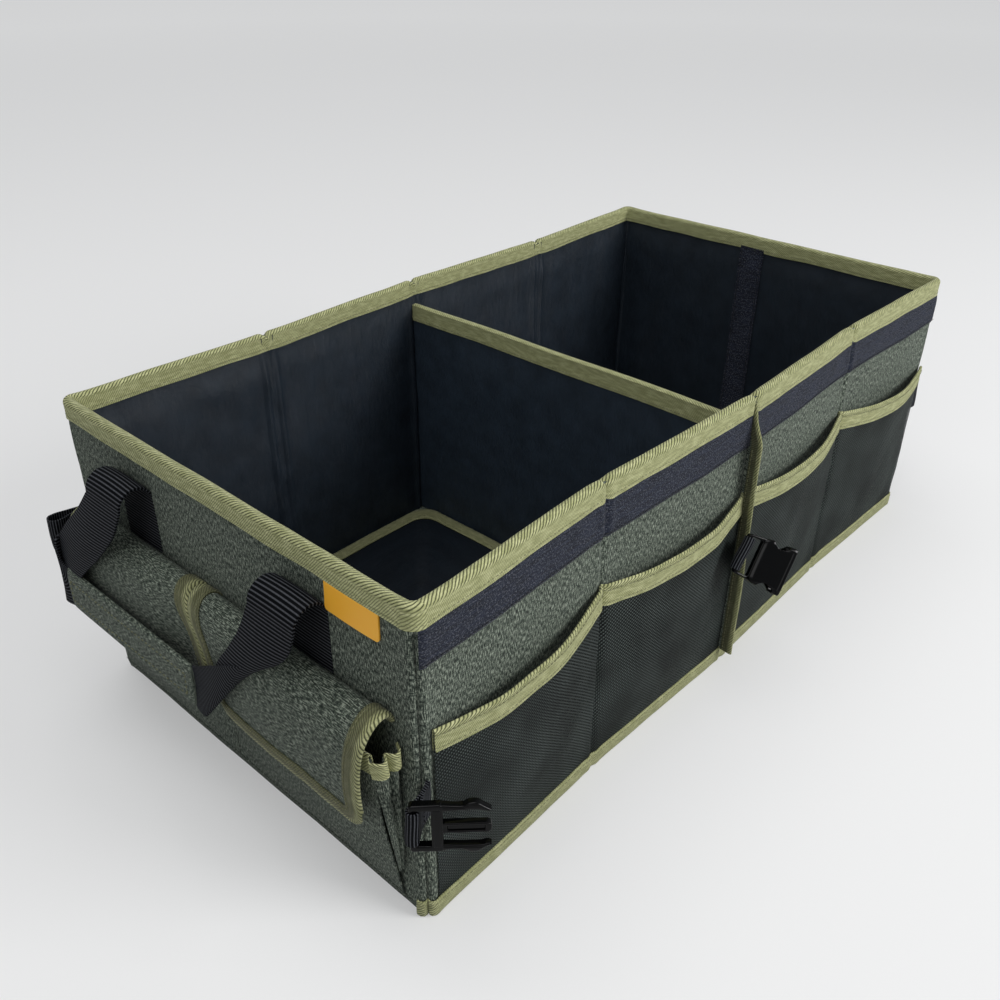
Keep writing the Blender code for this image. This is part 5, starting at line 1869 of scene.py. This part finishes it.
def make_camera():
    camera = bpy.data.cameras.new("camera")
    camera.sensor_width = 36.0
    camera.lens = CAMERA_LENS
    camera.clip_end = 100.0
    made = add_object("camera", camera)
    azimuth, down, roll = (math.radians(a) for a in (CAMERA_AZIMUTH, CAMERA_DOWN, CAMERA_ROLL))
    ahead = Vector((math.cos(down) * math.cos(azimuth), math.cos(down) * math.sin(azimuth), -math.sin(down)))
    right = ahead.cross(Vector((0, 0, 1))).normalized()
    up = right.cross(ahead)
    tilted_right = right * math.cos(roll) + up * math.sin(roll)
    tilted_up = up * math.cos(roll) - right * math.sin(roll)
    turn = Matrix((tilted_right, tilted_up, -ahead)).transposed().to_4x4()
    made.matrix_world = Matrix.Translation(CAMERA_PLACE) @ turn
    bpy.context.scene.camera = made


def area_light(name, place, size, power):
    lamp = bpy.data.lights.new(name, "AREA")
    lamp.shape = "RECTANGLE"
    lamp.size, lamp.size_y = size
    lamp.energy = power
    made = add_object(name, lamp)
    away = Vector(place) - LIT
    made.matrix_world = Matrix.Translation(place) @ away.to_track_quat("Z", "Y").to_matrix().to_4x4()


def make_stage():
    """A plain pale floor, soft lamps and an even world."""
    corners = [(x * FLOOR_REACH, y * FLOOR_REACH, 0) for x, y in ((-1, -1), (1, -1), (1, 1), (-1, 1))]
    floor = add_mesh("floor", corners, [(0, 1, 2, 3)])
    g = Graph("floor_finish", FLOOR_COLOUR, 0.9, 0.1)
    away = g.node("VectorMath", {0: g.node("TexCoord", (), 3)}, 1, operation="LENGTH")
    g.colour(g.mix(g.ramp(away, 0.5, 2.5), FLOOR_COLOUR, tint(FLOOR_COLOUR, 1.1)))
    g.set("Emission Color", (1.0, 1.0, 1.0))
    g.set("Emission Strength", g.node("LightPath") * g.ramp(away, 0.5, 4.5, 0.31, 0.45))
    floor.data.materials.append(g.material)
    floor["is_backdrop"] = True

    world = bpy.data.worlds.new("studio")
    bpy.context.scene.world = world
    world.use_nodes = True
    tree = world.node_tree
    light_path = tree.nodes.new("ShaderNodeLightPath")
    shade = tree.nodes.new("ShaderNodeMix")
    shade.data_type = "RGBA"
    shade.inputs[6].default_value = WORLD_LIGHT
    shade.inputs[7].default_value = WORLD_SEEN
    tree.links.new(light_path.outputs["Is Camera Ray"], shade.inputs[0])
    tree.links.new(shade.outputs[2], tree.nodes["Background"].inputs["Color"])
    for lamp in LAMPS:
        area_light(*lamp)
    bpy.context.scene.view_settings.view_transform = "Standard"


def main():
    for make in (make_camera, make_stage, make_outer, make_boards, make_lining, make_rim, make_rim_stitches,
                 make_mesh_pockets, make_front_trim, make_fin, make_divider, make_bases, make_end_pile,
                 make_end_pocket, make_flaps, make_tag):
        make()
    make_handle("near", -1, *NEAR_STRAPS, 0.148, -0.0065)
    make_handle("far", 1, FAR_BACK, FAR_FRONT, 0.0665, -0.0785)
    make_ribbons_and_buckles()
    make_outer_seams()
    for kind, finish in (("green", "green_thread"), ("seam", "olive_thread"), ("strip", "dark_thread")):
        stitches(kind + "_stitches", SEWN[kind], finish)


main()
visual_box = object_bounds()
[[list(corner) for corner in box] for box in (cad_box, visual_box)]
